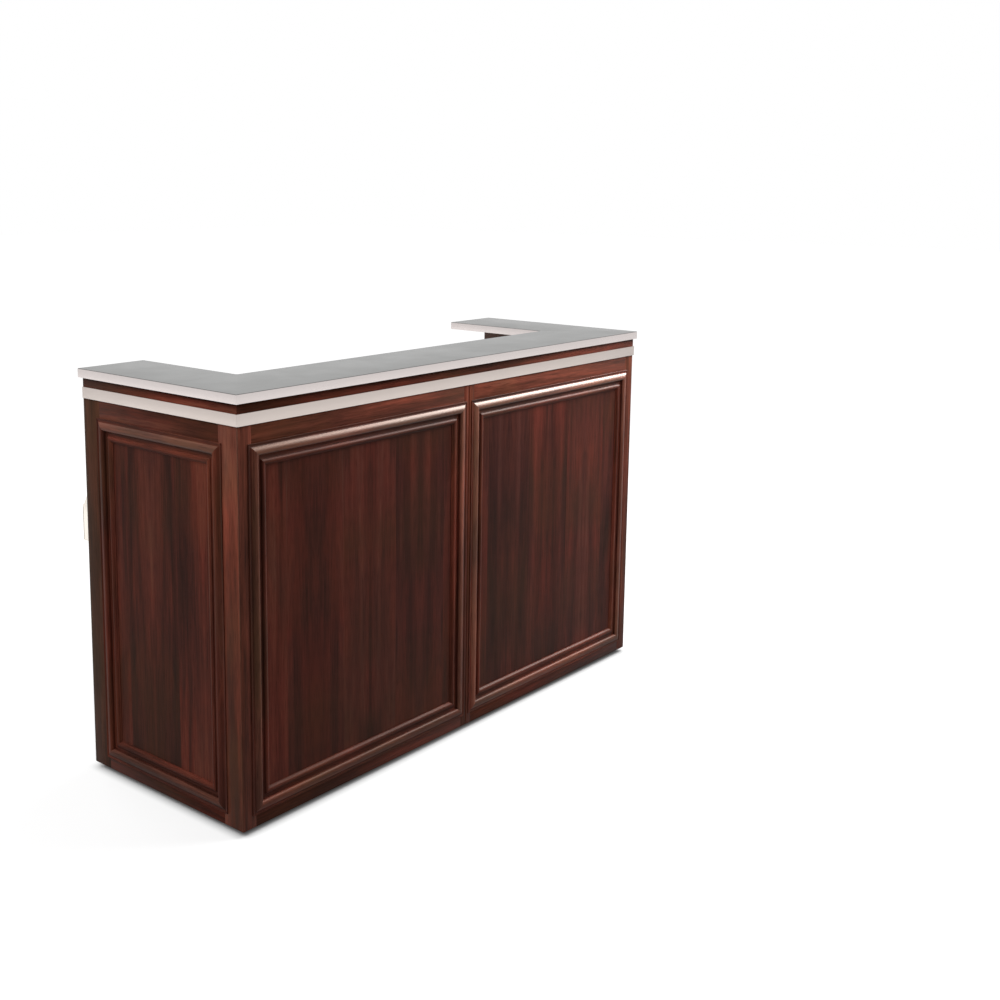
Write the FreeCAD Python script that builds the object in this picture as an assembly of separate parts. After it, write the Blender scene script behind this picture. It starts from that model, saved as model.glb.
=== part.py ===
import FreeCAD, Part
import os

# Portable bar: a panelled wooden shell on three sides, a U-shaped steel counter above it,
# and a working side at the rear with a steel worktop, an ice bin, a cupboard and two open bays.
# The customer side faces -Y, the working side faces +Y and left means -X.
# Every position below is measured from the middle of the shell's plan, with z = 0 on the floor,
# and each piece is moved by the same amount in y when it is written, so that the origin is
# under the middle of the whole bar.

# Overall sizes, in millimetres
SHELL_W = 1800.0
SHELL_D = 630.0
TOTAL_H = 1150.0
GROUND_GAP = 15.0
OVERRUN = 5.0

# Counter: slab, dark band and light strip
SLAB_THICK = 25.0
SLAB_OVERHANG = 10.0
SLAB_FRONT_D = 250.0
SLAB_RETURN_W = 222.0
SLAB_SKIN = 1.5
SLAB_EDGE_R = 2.5
BAND_H = 26.0
STRIP_H = 31.0
STRIP_THICK = 3.0

# Walls: frames with a panel let into a groove, and a lining inside
PANEL_THICK = 8.0
PANEL_RECESS = 6.0
FRAME_BACK = 5.0
FRAME_THICK = PANEL_RECESS + PANEL_THICK + FRAME_BACK
LINING_THICK = 6.0
GROOVE_DEPTH = 8.0
CORNER_STILE_W = 45.0
MIDDLE_STILE_W = 23.0
END_STILE_W = 71.0
TOP_RAIL_H = 60.0
BOTTOM_RAIL_H = 44.0
EDGE_BAND_THICK = 2.0

# Panel moulding, which laps over the frame: a fillet, a hollow, an outer bead, a groove,
# an inner bead and a cove. Heights are from the panel.
MOULD_LAP = 12.0
FILLET_W = 2.0
HOLLOW_W = MOULD_LAP - 2 * FILLET_W
HOLLOW_SAG = 1.3
OUTER_BEAD_W = 22.0
OUTER_SHOULDER_H = 8.5
OUTER_BEAD_RISE = 5.0
MOULD_GROOVE_W = 13.0
MOULD_GROOVE_DEPTH = 2.0
INNER_BEAD_W = 13.0
INNER_SHOULDER_H = 5.0
INNER_BEAD_RISE = 3.0
COVE_W = 4.0
COVE_END_H = 1.5
COVE_SAG = 0.8
MOULD_W = FILLET_W + HOLLOW_W + OUTER_BEAD_W + MOULD_GROOVE_W + INNER_BEAD_W + COVE_W
MOULD_REACH = MOULD_W - MOULD_LAP

# Carcass
BOARD_THICK = 18.0
CUPBOARD_W = 700.0

# Worktop, backsplash and the rail that carries the worktop's rear edge
WORKTOP_Z = 890.0
SHEET_THICK = 1.5
FASCIA_H = 50.0
FASCIA_RETURN = 12.0
UPSTAND_H = 15.0
BACKSPLASH_THICK = 1.2
WORKTOP_RAIL_THICK = 16.0

# Ice bin, its jacket and its drain
BIN_W = 300.0
BIN_D = 300.0
BIN_DEPTH = 250.0
BIN_CENTRE_Y = 35.0
BIN_WALL = 1.2
BIN_CORNER_R = 22.0
BIN_FLANGE_W = 12.0
BIN_CLEAR = 0.4
JACKET_THICK = 20.0
DRAIN_BORE_R = 10.0
DRAIN_WALL = 2.5
DRAIN_R = DRAIN_BORE_R + DRAIN_WALL
DRAIN_REACH = 45.0
DRAIN_FLANGE_W = 5.5
DRAIN_FLANGE_THICK = 1.5
DRAIN_CLEAR = 0.1

# Door hinges: two to a door, with the axis just outside the face of the door
HINGE_H = 60.0
HINGE_INSET = 90.0
HINGE_LEAF_THICK = 0.8
HINGE_LEAF_D = 26.0
HINGE_LEAF_GAP = 0.4
HINGE_PIN_R = 1.5
HINGE_PIN_FIT = 0.05
KNUCKLE_WALL = 1.95
KNUCKLE_R = HINGE_PIN_R + HINGE_PIN_FIT + KNUCKLE_WALL
KNUCKLE_SHARE = 0.25
KNUCKLE_GAP = 0.3
HINGE_PIN_HEAD_RIM = 1.1
HINGE_PIN_HEAD_H = 1.2

# Doors
DOOR_THICK = 18.0
DOOR_GAP = 3.0
DOOR_HINGE_GAP = 2 * HINGE_LEAF_THICK + HINGE_LEAF_GAP

# Door knobs
KNOB_X = 47.0
KNOB_RISE = 11.0
KNOB_W = 26.0
KNOB_H = 45.0
KNOB_THICK = 10.0
KNOB_EDGE_R = 3.5
KNOB_STEM_R = 6.0
KNOB_STEM_LEN = 13.0
KNOB_ROSE_RIM = 3.0
KNOB_ROSE_THICK = 2.0

# Cam lock in the fascia
LOCK_DROP = 22.0
LOCK_PLUG_R = 6.0
LOCK_PLUG_FIT = 0.06
LOCK_BODY_WALL = 1.94
LOCK_BODY_R = LOCK_PLUG_R + LOCK_PLUG_FIT + LOCK_BODY_WALL
LOCK_FLANGE_RIM = 3.0
LOCK_FLANGE_THICK = 2.5
LOCK_HOLE_CLEAR = 0.2
LOCK_NUT_RIM = 4.5
LOCK_NUT_THICK = 2.5
LOCK_NUT_R = LOCK_BODY_R + LOCK_NUT_RIM
LOCK_CAM_GAP = 0.4
LOCK_CAM_THICK = 2.0
LOCK_CAM_W = 16.0
LOCK_ENGAGE = 11.0
LOCK_STUD_R = 3.5
LOCK_STUD_HEAD_RIM = 2.0
LOCK_STUD_HEAD_THICK = 1.5
LOCK_RECESS_SIDE = 3.5
LOCK_RECESS_DEPTH = 24.0
KEY_SLOT_W = 1.6
KEY_SLOT_H = 7.0
KEY_SLOT_DEPTH = 4.0

# Speed rails: folded troughs that hang on studs by keyholes
SPEED_SIDE_GAP = 23.5
SPEED_REACH = 92.0
SPEED_H = 250.0
SPEED_LIP_H = 105.0
SPEED_SHEET = 1.5
SPEED_HEM = 8.0
STUD_INSET = 60.0
STUD_DROP = 25.0
STUD_R = 3.5
STUD_FIT = 0.15
STUD_HEAD_RIM = 3.0
STUD_HEAD_R = STUD_R + STUD_HEAD_RIM
STUD_HEAD_THICK = 3.0
STUD_HEAD_GAP = 0.3
KEYHOLE_CLEAR = 0.7
KEYHOLE_TRAVEL = 14.0

# Bay shelves and their runners
RUNNER_RISE = 257.0
RUNNER_H = 12.0
RUNNER_W = 10.0
RUNNER_REAR_GAP = 3.0
SHELF_SETBACK = 140.0
SHELF_SIDE_GAP = 1.0
SHELF_FRONT_GAP = 1.0

# Casters
CASTER_INSET = 105.0
CASTER_TRAIL = 25.0
PLATE_SIDE = 70.0
PLATE_THICK = 3.0
RACEWAY_R = 23.0
RACEWAY_H = 9.0
SWIVEL_GAP = 0.3
KINGPIN_R = 6.0
KINGPIN_FIT = 0.06
KINGPIN_HEAD_RIM = 4.0
KINGPIN_HEAD_H = 2.6
CROWN_R = 24.0
CROWN_THICK = 4.0
FORK_LEG_THICK = 3.0
FORK_LEG_W = 24.0
FORK_BOSS_R = 11.0
WHEEL_R = 37.5
WHEEL_W = 26.0
WHEEL_SIDE_GAP = 1.0
WHEEL_TOP_GAP = 5.8
WHEEL_HUB_R = 13.0
WHEEL_WEB_W = 12.0
WHEEL_TYRE = 4.5
TREAD_ROUND = 5.0
AXLE_R = 4.0
AXLE_FIT = 0.08
AXLE_SEAT_FIT = 0.05
AXLE_HEAD_RIM = 2.5
AXLE_HEAD_THICK = 4.0
SCREW_R = 3.0
SCREW_FIT = 0.1
SCREW_HEAD_RIM = 2.5
SCREW_HEAD_THICK = 2.5
SCREW_COVER = 6.0
SCREW_INSET = 9.0

# Levels of a caster, from the floor up to the underside of the deck
KINGPIN_HEAD_Z = 2 * WHEEL_R + WHEEL_TOP_GAP
KINGPIN_HEAD_TOP_Z = KINGPIN_HEAD_Z + KINGPIN_HEAD_H
CROWN_Z = KINGPIN_HEAD_TOP_Z + SWIVEL_GAP
CROWN_TOP_Z = CROWN_Z + CROWN_THICK
RACEWAY_Z = CROWN_TOP_Z + SWIVEL_GAP
PLATE_Z = RACEWAY_Z + RACEWAY_H
DECK_UNDER_Z = PLATE_Z + PLATE_THICK

# Levels and planes of the rest, from the sizes above
SLAB_Z = TOTAL_H - SLAB_THICK
BAND_Z = SLAB_Z - BAND_H
WOOD_TOP_Z = BAND_Z - STRIP_H
DECK_Z = DECK_UNDER_Z + BOARD_THICK
HALF_W = SHELL_W / 2
REAR_Y = SHELL_D / 2
FRONT_Y = -REAR_Y
WALL_THICK = FRAME_THICK + LINING_THICK
INNER_X = HALF_W - WALL_THICK
INNER_FRONT_Y = FRONT_Y + WALL_THICK
PARTITION_INNER_X = CUPBOARD_W / 2
PARTITION_OUTER_X = PARTITION_INNER_X + BOARD_THICK
BOARD_REAR_Y = REAR_Y - BOARD_THICK
CORE_TOP_Z = WORKTOP_Z - SHEET_THICK
CORE_UNDER_Z = CORE_TOP_Z - BOARD_THICK
FASCIA_Z = WORKTOP_Z - FASCIA_H
RAIL_REAR_Y = REAR_Y - SHEET_THICK
RAIL_FRONT_Y = RAIL_REAR_Y - WORKTOP_RAIL_THICK
DOOR_Z0 = DECK_Z + DOOR_GAP
DOOR_Z1 = FASCIA_Z - DOOR_GAP
DOOR_EDGE_X = PARTITION_INNER_X - DOOR_HINGE_GAP
HINGE_X = PARTITION_INNER_X - DOOR_HINGE_GAP / 2
HINGE_Y = REAR_Y + KNUCKLE_R
KNOB_Z = (DOOR_Z0 + DOOR_Z1) / 2 + KNOB_RISE
LOCK_Z = WORKTOP_Z - LOCK_DROP
LOCK_CAM_REACH = LOCK_Z - DOOR_Z1 + LOCK_ENGAGE
BAY_X = (PARTITION_OUTER_X + INNER_X) / 2
SPEED_W = INNER_X - PARTITION_OUTER_X - 2 * SPEED_SIDE_GAP
SPEED_BOTTOM_Z = WORKTOP_Z - SPEED_H
STUD_Z = WORKTOP_Z - STUD_DROP
RUNNER_TOP_Z = DECK_Z + RUNNER_RISE
CASTER_X = INNER_X - CASTER_INSET
CASTER_Y = -INNER_FRONT_Y - CASTER_INSET
REAR_REACH = REAR_Y + SPEED_REACH
ORIGIN_Y = (REAR_REACH - (REAR_Y + SLAB_OVERHANG)) / 2
BIN_FLOOR_Z = WORKTOP_Z - BIN_DEPTH
JACKET_UNDER_Z = BIN_FLOOR_Z - BIN_WALL - JACKET_THICK

UP = FreeCAD.Vector(0, 0, 1)
REARWARD = FreeCAD.Vector(0, 1, 0)
SIDEWAYS = FreeCAD.Vector(1, 0, 0)
CENTRE = FreeCAD.Vector(0, 0, 0)


def point(x, y, z):
    return FreeCAD.Vector(x, y, z)


def box(x0, x1, y0, y1, z0, z1):
    """A block between two values on each axis, given in either order."""
    corner = point(min(x0, x1), min(y0, y1), min(z0, z1))
    return Part.makeBox(abs(x1 - x0), abs(y1 - y0), abs(z1 - z0), corner)


def rounded_block(half_w, y0, y1, z0, z1, radius):
    """A block about x = 0 with its four upright edges rounded."""
    block = box(-half_w, half_w, y0, y1, z0, z1)
    spans = [(edge, edge.BoundBox) for edge in block.Edges]
    upright = [edge for edge, span in spans if span.ZLength > max(span.XLength, span.YLength)]
    return block.makeFillet(radius, upright)


def prism(corners, along):
    """A closed outline of straight sides, pushed along a vector."""
    outline = Part.makePolygon(corners + corners[:1])
    return Part.Face(outline).extrude(along)


def mirrored(shape):
    """The same piece on the other side of the bar."""
    return shape.mirror(CENTRE, SIDEWAYS)


def both_sides(shape):
    return [mirrored(shape), shape]


def write(node, solids):
    """Write one sub-part, moved so that the origin is under the middle of the bar."""
    pieces = []
    for solid in solids:
        piece = solid.copy()
        piece.translate(point(0, -ORIGIN_Y, 0))
        pieces.append(piece)
    shape = pieces[0] if len(pieces) == 1 else Part.makeCompound(pieces)
    shape.exportStep("parts/" + node + ".step")


# Framed walls. Each is drawn with its face on y = 0 looking to -Y, then turned and moved.


def frame_pieces(x0, x1, stile0, stile1, mitre0, mitre1):
    """Two stiles and two rails round an opening, grooved for the panel."""
    open_x0, open_x1 = x0 + stile0, x1 - stile1
    open_z0, open_z1 = GROUND_GAP + BOTTOM_RAIL_H, WOOD_TOP_Z - TOP_RAIL_H
    stiles = [
        box(x0, open_x0, 0, FRAME_THICK, GROUND_GAP, WOOD_TOP_Z),
        box(open_x1, x1, 0, FRAME_THICK, GROUND_GAP, WOOD_TOP_Z),
    ]
    rails = [
        box(open_x0, open_x1, 0, FRAME_THICK, GROUND_GAP, open_z0),
        box(open_x0, open_x1, 0, FRAME_THICK, open_z1, WOOD_TOP_Z),
    ]
    groove = box(
        open_x0 - GROOVE_DEPTH, open_x1 + GROOVE_DEPTH,
        PANEL_RECESS, PANEL_RECESS + PANEL_THICK,
        open_z0 - GROOVE_DEPTH, open_z1 + GROOVE_DEPTH,
    )
    if mitre0:
        stiles[0] = stiles[0].cut(mitre_wedge(x0, 1, GROUND_GAP, WOOD_TOP_Z))
    if mitre1:
        stiles[1] = stiles[1].cut(mitre_wedge(x1, -1, GROUND_GAP, WOOD_TOP_Z))
    return [piece.cut(groove) for piece in stiles + rails]


def mitre_wedge(x, inward, z0, z1):
    """What a 45 degree mitre takes off the back of a board that ends at x."""
    reach = FRAME_THICK + OVERRUN
    corners = [
        point(x - inward * OVERRUN, -OVERRUN, z0),
        point(x + inward * reach, reach, z0),
        point(x - inward * OVERRUN, reach, z0),
    ]
    return prism(corners, UP * (z1 - z0))


def panel_piece(x0, x1, stile0, stile1):
    return box(
        x0 + stile0 - GROOVE_DEPTH, x1 - stile1 + GROOVE_DEPTH,
        PANEL_RECESS, PANEL_RECESS + PANEL_THICK,
        GROUND_GAP + BOTTOM_RAIL_H - GROOVE_DEPTH, WOOD_TOP_Z - TOP_RAIL_H + GROOVE_DEPTH,
    )


def moulding_profile(corner, inward):
    """Section of the moulding at one corner of the opening, against frame and panel."""
    def at(w, h):
        return corner + inward * w - REARWARD * h

    fillet0 = -MOULD_LAP
    fillet1 = fillet0 + FILLET_W
    outer0 = fillet1 + HOLLOW_W
    outer1 = outer0 + OUTER_BEAD_W
    inner0 = outer1 + MOULD_GROOVE_W
    inner1 = inner0 + INNER_BEAD_W
    outer_h = OUTER_SHOULDER_H + OUTER_BEAD_RISE
    inner_h = INNER_SHOULDER_H + INNER_BEAD_RISE
    groove_h = INNER_SHOULDER_H - MOULD_GROOVE_DEPTH
    cove_w = (inner1 + MOULD_REACH) / 2 - COVE_SAG
    cove_h = (INNER_SHOULDER_H + COVE_END_H) / 2 - COVE_SAG
    hollow = Part.Arc(
        at(fillet1, OUTER_SHOULDER_H), at((fillet1 + outer0) / 2, OUTER_SHOULDER_H - HOLLOW_SAG),
        at(outer0, OUTER_SHOULDER_H))
    outer_bead = Part.Arc(
        at(outer0, OUTER_SHOULDER_H), at((outer0 + outer1) / 2, outer_h), at(outer1, OUTER_SHOULDER_H))
    inner_bead = Part.Arc(
        at(inner0, INNER_SHOULDER_H), at((inner0 + inner1) / 2, inner_h), at(inner1, INNER_SHOULDER_H))
    cove = Part.Arc(at(inner1, INNER_SHOULDER_H), at(cove_w, cove_h), at(MOULD_REACH, COVE_END_H))
    edges = [
        Part.LineSegment(at(0, PANEL_RECESS), at(fillet0, PANEL_RECESS)),
        Part.LineSegment(at(fillet0, PANEL_RECESS), at(fillet0, OUTER_SHOULDER_H)),
        Part.LineSegment(at(fillet0, OUTER_SHOULDER_H), at(fillet1, OUTER_SHOULDER_H)),
        hollow,
        outer_bead,
        Part.LineSegment(at(outer1, OUTER_SHOULDER_H), at(outer1, groove_h)),
        Part.LineSegment(at(outer1, groove_h), at(inner0, groove_h)),
        Part.LineSegment(at(inner0, groove_h), at(inner0, INNER_SHOULDER_H)),
        inner_bead,
        cove,
        Part.LineSegment(at(MOULD_REACH, COVE_END_H), at(MOULD_REACH, 0)),
        Part.LineSegment(at(MOULD_REACH, 0), at(0, 0)),
        Part.LineSegment(at(0, 0), at(0, PANEL_RECESS)),
    ]
    return Part.Wire([edge.toShape() for edge in edges])


def moulding_mitre(corner, inward, along):
    """What the mitre takes off the end of a moulding that starts at a corner."""
    slant = inward + along
    before, after = MOULD_LAP + OVERRUN, MOULD_REACH + OVERRUN
    start = corner - slant * before + REARWARD * OVERRUN
    stop = corner + slant * after + REARWARD * OVERRUN
    back = along * (before + after)
    height = OUTER_SHOULDER_H + OUTER_BEAD_RISE + OVERRUN + OVERRUN
    return prism([start, stop, stop - back, start - back], -REARWARD * height)


def moulding_pieces(x0, x1, stile0, stile1):
    """Four mitred lengths of moulding round the opening of a frame."""
    low = (x0 + stile0, GROUND_GAP + BOTTOM_RAIL_H)
    high = (x1 - stile1, WOOD_TOP_Z - TOP_RAIL_H)
    corners = [
        point(low[0], PANEL_RECESS, low[1]),
        point(high[0], PANEL_RECESS, low[1]),
        point(high[0], PANEL_RECESS, high[1]),
        point(low[0], PANEL_RECESS, high[1]),
    ]
    inwards = [UP, -SIDEWAYS, -UP, SIDEWAYS]
    pieces = []
    for index, inward in enumerate(inwards):
        start, stop = corners[index], corners[(index + 1) % len(corners)]
        run = stop - start
        along = run / run.Length
        section = Part.Face(moulding_profile(start - along * MOULD_LAP, inward))
        bar = section.extrude(run + along * 2 * MOULD_LAP)
        bar = bar.cut(moulding_mitre(start, inward, along))
        bar = bar.cut(moulding_mitre(stop, inward, -along))
        pieces.append(bar)
    return pieces


def on_front(solids):
    return [moved(solid, 0, point(0, FRONT_Y, 0)) for solid in solids]


def on_left_end(solids):
    return [moved(solid, -90, point(-HALF_W, 0, 0)) for solid in solids]


def moved(solid, turn, shift):
    piece = solid.copy()
    piece.rotate(CENTRE, UP, turn)
    piece.translate(shift)
    return piece


def build_front_wall():
    halves = {"left": (-HALF_W, 0, CORNER_STILE_W, MIDDLE_STILE_W, True, False),
              "right": (0, HALF_W, MIDDLE_STILE_W, CORNER_STILE_W, False, True)}
    panels, mouldings = [], []
    for side, (x0, x1, stile0, stile1, mitre0, mitre1) in halves.items():
        frame = frame_pieces(x0, x1, stile0, stile1, mitre0, mitre1)
        write("front_frame_" + side, on_front(frame))
        panels.append(panel_piece(x0, x1, stile0, stile1))
        mouldings += moulding_pieces(x0, x1, stile0, stile1)
    write("front_panels", on_front(panels))
    write("front_mouldings", on_front(mouldings))
    lining = box(
        -INNER_X - LINING_THICK, INNER_X + LINING_THICK,
        INNER_FRONT_Y - LINING_THICK, INNER_FRONT_Y, GROUND_GAP, SLAB_Z)
    write("front_lining", [lining])


def build_end_walls():
    """The end frames run from the mitred front corner to the rear edge band."""
    rear_end, front_end = -REAR_Y + EDGE_BAND_THICK, REAR_Y
    rear_stile = END_STILE_W - EDGE_BAND_THICK
    frame = frame_pieces(rear_end, front_end, rear_stile, END_STILE_W, False, True)
    frame = on_left_end(frame)
    write("end_frame_left", frame)
    write("end_frame_right", [mirrored(piece) for piece in frame])
    panel = on_left_end([panel_piece(rear_end, front_end, rear_stile, END_STILE_W)])[0]
    write("end_panels", both_sides(panel))
    mouldings = on_left_end(moulding_pieces(rear_end, front_end, rear_stile, END_STILE_W))
    write("end_mouldings", mouldings + [mirrored(piece) for piece in mouldings])
    lining = box(
        INNER_X, INNER_X + LINING_THICK, INNER_FRONT_Y, REAR_Y - EDGE_BAND_THICK, GROUND_GAP, SLAB_Z)
    write("end_linings", both_sides(lining))
    edge_band = box(INNER_X, HALF_W, REAR_Y - EDGE_BAND_THICK, REAR_Y, GROUND_GAP, SLAB_Z)
    write("end_edge_bands", both_sides(edge_band))


# Counter: the boards that carry it, the light strip on them and the slab


def mitred_course(outside, thick, z0, z1, rear_y):
    """One front and two end lengths, mitred at the front corners.

    outside is how far the faces stand out of the shell's faces.
    """
    half_w = HALF_W + outside
    front_y = FRONT_Y - outside
    front = prism([
        point(-half_w, front_y, z0), point(half_w, front_y, z0),
        point(half_w - thick, front_y + thick, z0), point(-half_w + thick, front_y + thick, z0),
    ], UP * (z1 - z0))
    side = prism([
        point(half_w, front_y, z0), point(half_w, rear_y, z0),
        point(half_w - thick, rear_y, z0), point(half_w - thick, front_y + thick, z0),
    ], UP * (z1 - z0))
    return [front] + both_sides(side)


def u_block(inset, z0, z1):
    """The counter's U-shaped plan, drawn in by an inset on every side."""
    half_w = HALF_W + SLAB_OVERHANG - inset
    front_y = FRONT_Y - SLAB_OVERHANG + inset
    rear_y = REAR_Y + SLAB_OVERHANG - inset
    inner_x = HALF_W + SLAB_OVERHANG - SLAB_RETURN_W + inset
    inner_y = FRONT_Y - SLAB_OVERHANG + SLAB_FRONT_D - inset
    return prism([
        point(-half_w, front_y, z0), point(half_w, front_y, z0),
        point(half_w, rear_y, z0), point(inner_x, rear_y, z0),
        point(inner_x, inner_y, z0), point(-inner_x, inner_y, z0),
        point(-inner_x, rear_y, z0), point(-half_w, rear_y, z0),
    ], UP * (z1 - z0))


def build_counter():
    rear_y = REAR_Y - EDGE_BAND_THICK
    write("top_band", mitred_course(0, FRAME_THICK, WOOD_TOP_Z, SLAB_Z, rear_y))
    write("light_strip", mitred_course(STRIP_THICK, STRIP_THICK, WOOD_TOP_Z, BAND_Z, REAR_Y))
    skin_under_z = TOTAL_H - SLAB_SKIN
    slab = u_block(0, SLAB_Z, TOTAL_H)
    top_edges = [edge for edge in slab.Edges if edge.BoundBox.ZMin > skin_under_z]
    slab = slab.makeFillet(SLAB_EDGE_R, top_edges)
    write("counter_top", [slab.cut(u_block(SLAB_SKIN, SLAB_Z - OVERRUN, skin_under_z))])
    write("counter_core", [u_block(SLAB_SKIN, SLAB_Z, skin_under_z)])


# Carcass


def caster_places():
    return {
        "front_left": (-CASTER_X, -CASTER_Y), "front_right": (CASTER_X, -CASTER_Y),
        "rear_left": (-CASTER_X, CASTER_Y), "rear_right": (CASTER_X, CASTER_Y),
    }


def plate_hole_offsets():
    """The four screw holes of one caster plate, from its middle."""
    offset = PLATE_SIDE / 2 - SCREW_INSET
    return [(i * offset, j * offset) for i in (-1, 1) for j in (-1, 1)]


def screw_places():
    """All the caster screws under the deck."""
    return [
        (x + dx, y + dy)
        for x, y in caster_places().values() for dx, dy in plate_hole_offsets()
    ]


def build_carcass():
    deck = box(-INNER_X, INNER_X, INNER_FRONT_Y, BOARD_REAR_Y, DECK_UNDER_Z, DECK_Z)
    pilot_top_z = DECK_Z - SCREW_COVER + SCREW_FIT
    pilot = upright_cylinder(SCREW_R + SCREW_FIT, DECK_UNDER_Z - OVERRUN, pilot_top_z)
    for x, y in screw_places():
        deck = deck.cut(moved(pilot, 0, point(x, y, 0)))
    write("deck", [deck])
    write("rear_rail", [box(-INNER_X, INNER_X, BOARD_REAR_Y, REAR_Y, GROUND_GAP, DECK_Z)])
    partition = box(
        PARTITION_INNER_X, PARTITION_OUTER_X, INNER_FRONT_Y, REAR_Y, DECK_Z, CORE_UNDER_Z)
    notch = box(
        PARTITION_INNER_X - OVERRUN, PARTITION_OUTER_X + OVERRUN,
        RAIL_FRONT_Y, REAR_Y + OVERRUN, FASCIA_Z, CORE_UNDER_Z + OVERRUN)
    partition = partition.cut(notch)
    write("partition_left", [mirrored(partition)])
    write("partition_right", [partition])


# Worktop and backsplash


def bin_block(grow, z0, z1):
    """The bin's hollow, grown sideways, between two heights."""
    y0 = BIN_CENTRE_Y - BIN_D / 2 - grow
    y1 = BIN_CENTRE_Y + BIN_D / 2 + grow
    return rounded_block(BIN_W / 2 + grow, y0, y1, z0, z1, BIN_CORNER_R + grow)


def lock_cylinder(radius, y0, y1):
    """A round piece or hole on the lock's axis."""
    return Part.makeCylinder(radius, y1 - y0, point(0, y0, LOCK_Z), REARWARD)


def stud_places():
    """The two studs of the right speed rail, by x."""
    offset = SPEED_W / 2 - STUD_INSET
    return (BAY_X - offset, BAY_X + offset)


def stud_cylinder(x, z, radius, y0, y1):
    return Part.makeCylinder(radius, y1 - y0, point(x, y0, z), REARWARD)


def cut_stud_holes(shape, y0, y1):
    for x in stud_places():
        hole = stud_cylinder(x, STUD_Z, STUD_R, y0 - OVERRUN, y1 + OVERRUN)
        for side_hole in both_sides(hole):
            shape = shape.cut(side_hole)
    return shape


def build_worktop():
    opening = bin_block(BIN_WALL + BIN_CLEAR, CORE_UNDER_Z - OVERRUN, WORKTOP_Z + OVERRUN)
    top = box(-INNER_X, INNER_X, INNER_FRONT_Y, REAR_Y, CORE_TOP_Z, WORKTOP_Z)
    fascia = box(-INNER_X, INNER_X, RAIL_REAR_Y, REAR_Y, FASCIA_Z, WORKTOP_Z)
    fold = box(-INNER_X, INNER_X, REAR_Y - FASCIA_RETURN, REAR_Y, FASCIA_Z, FASCIA_Z + SHEET_THICK)
    upstand = box(
        INNER_X - SHEET_THICK, INNER_X, INNER_FRONT_Y + BACKSPLASH_THICK, REAR_Y,
        WORKTOP_Z - SHEET_THICK, WORKTOP_Z + UPSTAND_H)
    sheet = top.fuse([fascia, fold] + both_sides(upstand)).removeSplitter()
    hole_r = LOCK_BODY_R + LOCK_HOLE_CLEAR
    lock_hole = lock_cylinder(hole_r, RAIL_FRONT_Y - OVERRUN, REAR_Y + OVERRUN)
    sheet = cut_stud_holes(sheet.cut(opening).cut(lock_hole), RAIL_REAR_Y, REAR_Y)
    write("worktop", [sheet])

    core = box(-INNER_X, INNER_X, INNER_FRONT_Y, RAIL_FRONT_Y, CORE_UNDER_Z, CORE_TOP_Z)
    recess = box(
        -LOCK_NUT_R - LOCK_RECESS_SIDE, LOCK_CAM_REACH + LOCK_CAM_W,
        RAIL_FRONT_Y - LOCK_RECESS_DEPTH, RAIL_FRONT_Y + OVERRUN,
        CORE_UNDER_Z - OVERRUN, CORE_TOP_Z + OVERRUN)
    write("worktop_core", [core.cut(opening).cut(recess)])

    rail = box(-INNER_X, INNER_X, RAIL_FRONT_Y, RAIL_REAR_Y, FASCIA_Z + SHEET_THICK, CORE_TOP_Z)
    rail = cut_stud_holes(rail.cut(lock_hole), RAIL_FRONT_Y, RAIL_REAR_Y)
    write("worktop_rail", [rail])

    splash = box(
        -INNER_X, INNER_X, INNER_FRONT_Y, INNER_FRONT_Y + BACKSPLASH_THICK, WORKTOP_Z, SLAB_Z)
    write("backsplash", [splash])


# Ice bin


def build_ice_bin():
    tub = bin_block(BIN_WALL, BIN_FLOOR_Z - BIN_WALL, WORKTOP_Z + BIN_WALL)
    flange = bin_block(BIN_FLANGE_W, WORKTOP_Z, WORKTOP_Z + BIN_WALL)
    hollow = bin_block(0, BIN_FLOOR_Z, WORKTOP_Z + OVERRUN)
    drain_start = point(0, BIN_CENTRE_Y, BIN_FLOOR_Z - BIN_WALL - OVERRUN)
    drain_len = BIN_WALL + OVERRUN + OVERRUN
    drain_hole = Part.makeCylinder(DRAIN_R + DRAIN_CLEAR, drain_len, drain_start, UP)
    write("ice_bin", [tub.fuse(flange).cut(hollow).cut(drain_hole).removeSplitter()])

    casing = bin_block(BIN_WALL + BIN_CLEAR + JACKET_THICK, JACKET_UNDER_Z, CORE_UNDER_Z)
    inside = bin_block(BIN_WALL + BIN_CLEAR, BIN_FLOOR_Z - BIN_WALL, CORE_UNDER_Z + OVERRUN)
    hole_len = JACKET_THICK + OVERRUN + OVERRUN
    hole_start = point(0, BIN_CENTRE_Y, JACKET_UNDER_Z - OVERRUN)
    jacket_hole = Part.makeCylinder(DRAIN_R + DRAIN_CLEAR, hole_len, hole_start, UP)
    write("ice_bin_jacket", [casing.cut(inside).cut(jacket_hole)])

    tail_z = JACKET_UNDER_Z - DRAIN_REACH
    tail = Part.makeCylinder(DRAIN_R, BIN_FLOOR_Z - tail_z, point(0, BIN_CENTRE_Y, tail_z), UP)
    collar = Part.makeCylinder(
        DRAIN_R + DRAIN_FLANGE_W, DRAIN_FLANGE_THICK, point(0, BIN_CENTRE_Y, BIN_FLOOR_Z), UP)
    bore_len = BIN_FLOOR_Z - tail_z + DRAIN_FLANGE_THICK + OVERRUN + OVERRUN
    bore = Part.makeCylinder(DRAIN_BORE_R, bore_len, point(0, BIN_CENTRE_Y, tail_z - OVERRUN), UP)
    write("drain_spigot", [tail.fuse(collar).cut(bore).removeSplitter()])


# Doors. The right door is drawn and the left one is its mirror image.


def hinge_heights():
    return (DOOR_Z0 + HINGE_INSET, DOOR_Z1 - HINGE_INSET - HINGE_H)


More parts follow.
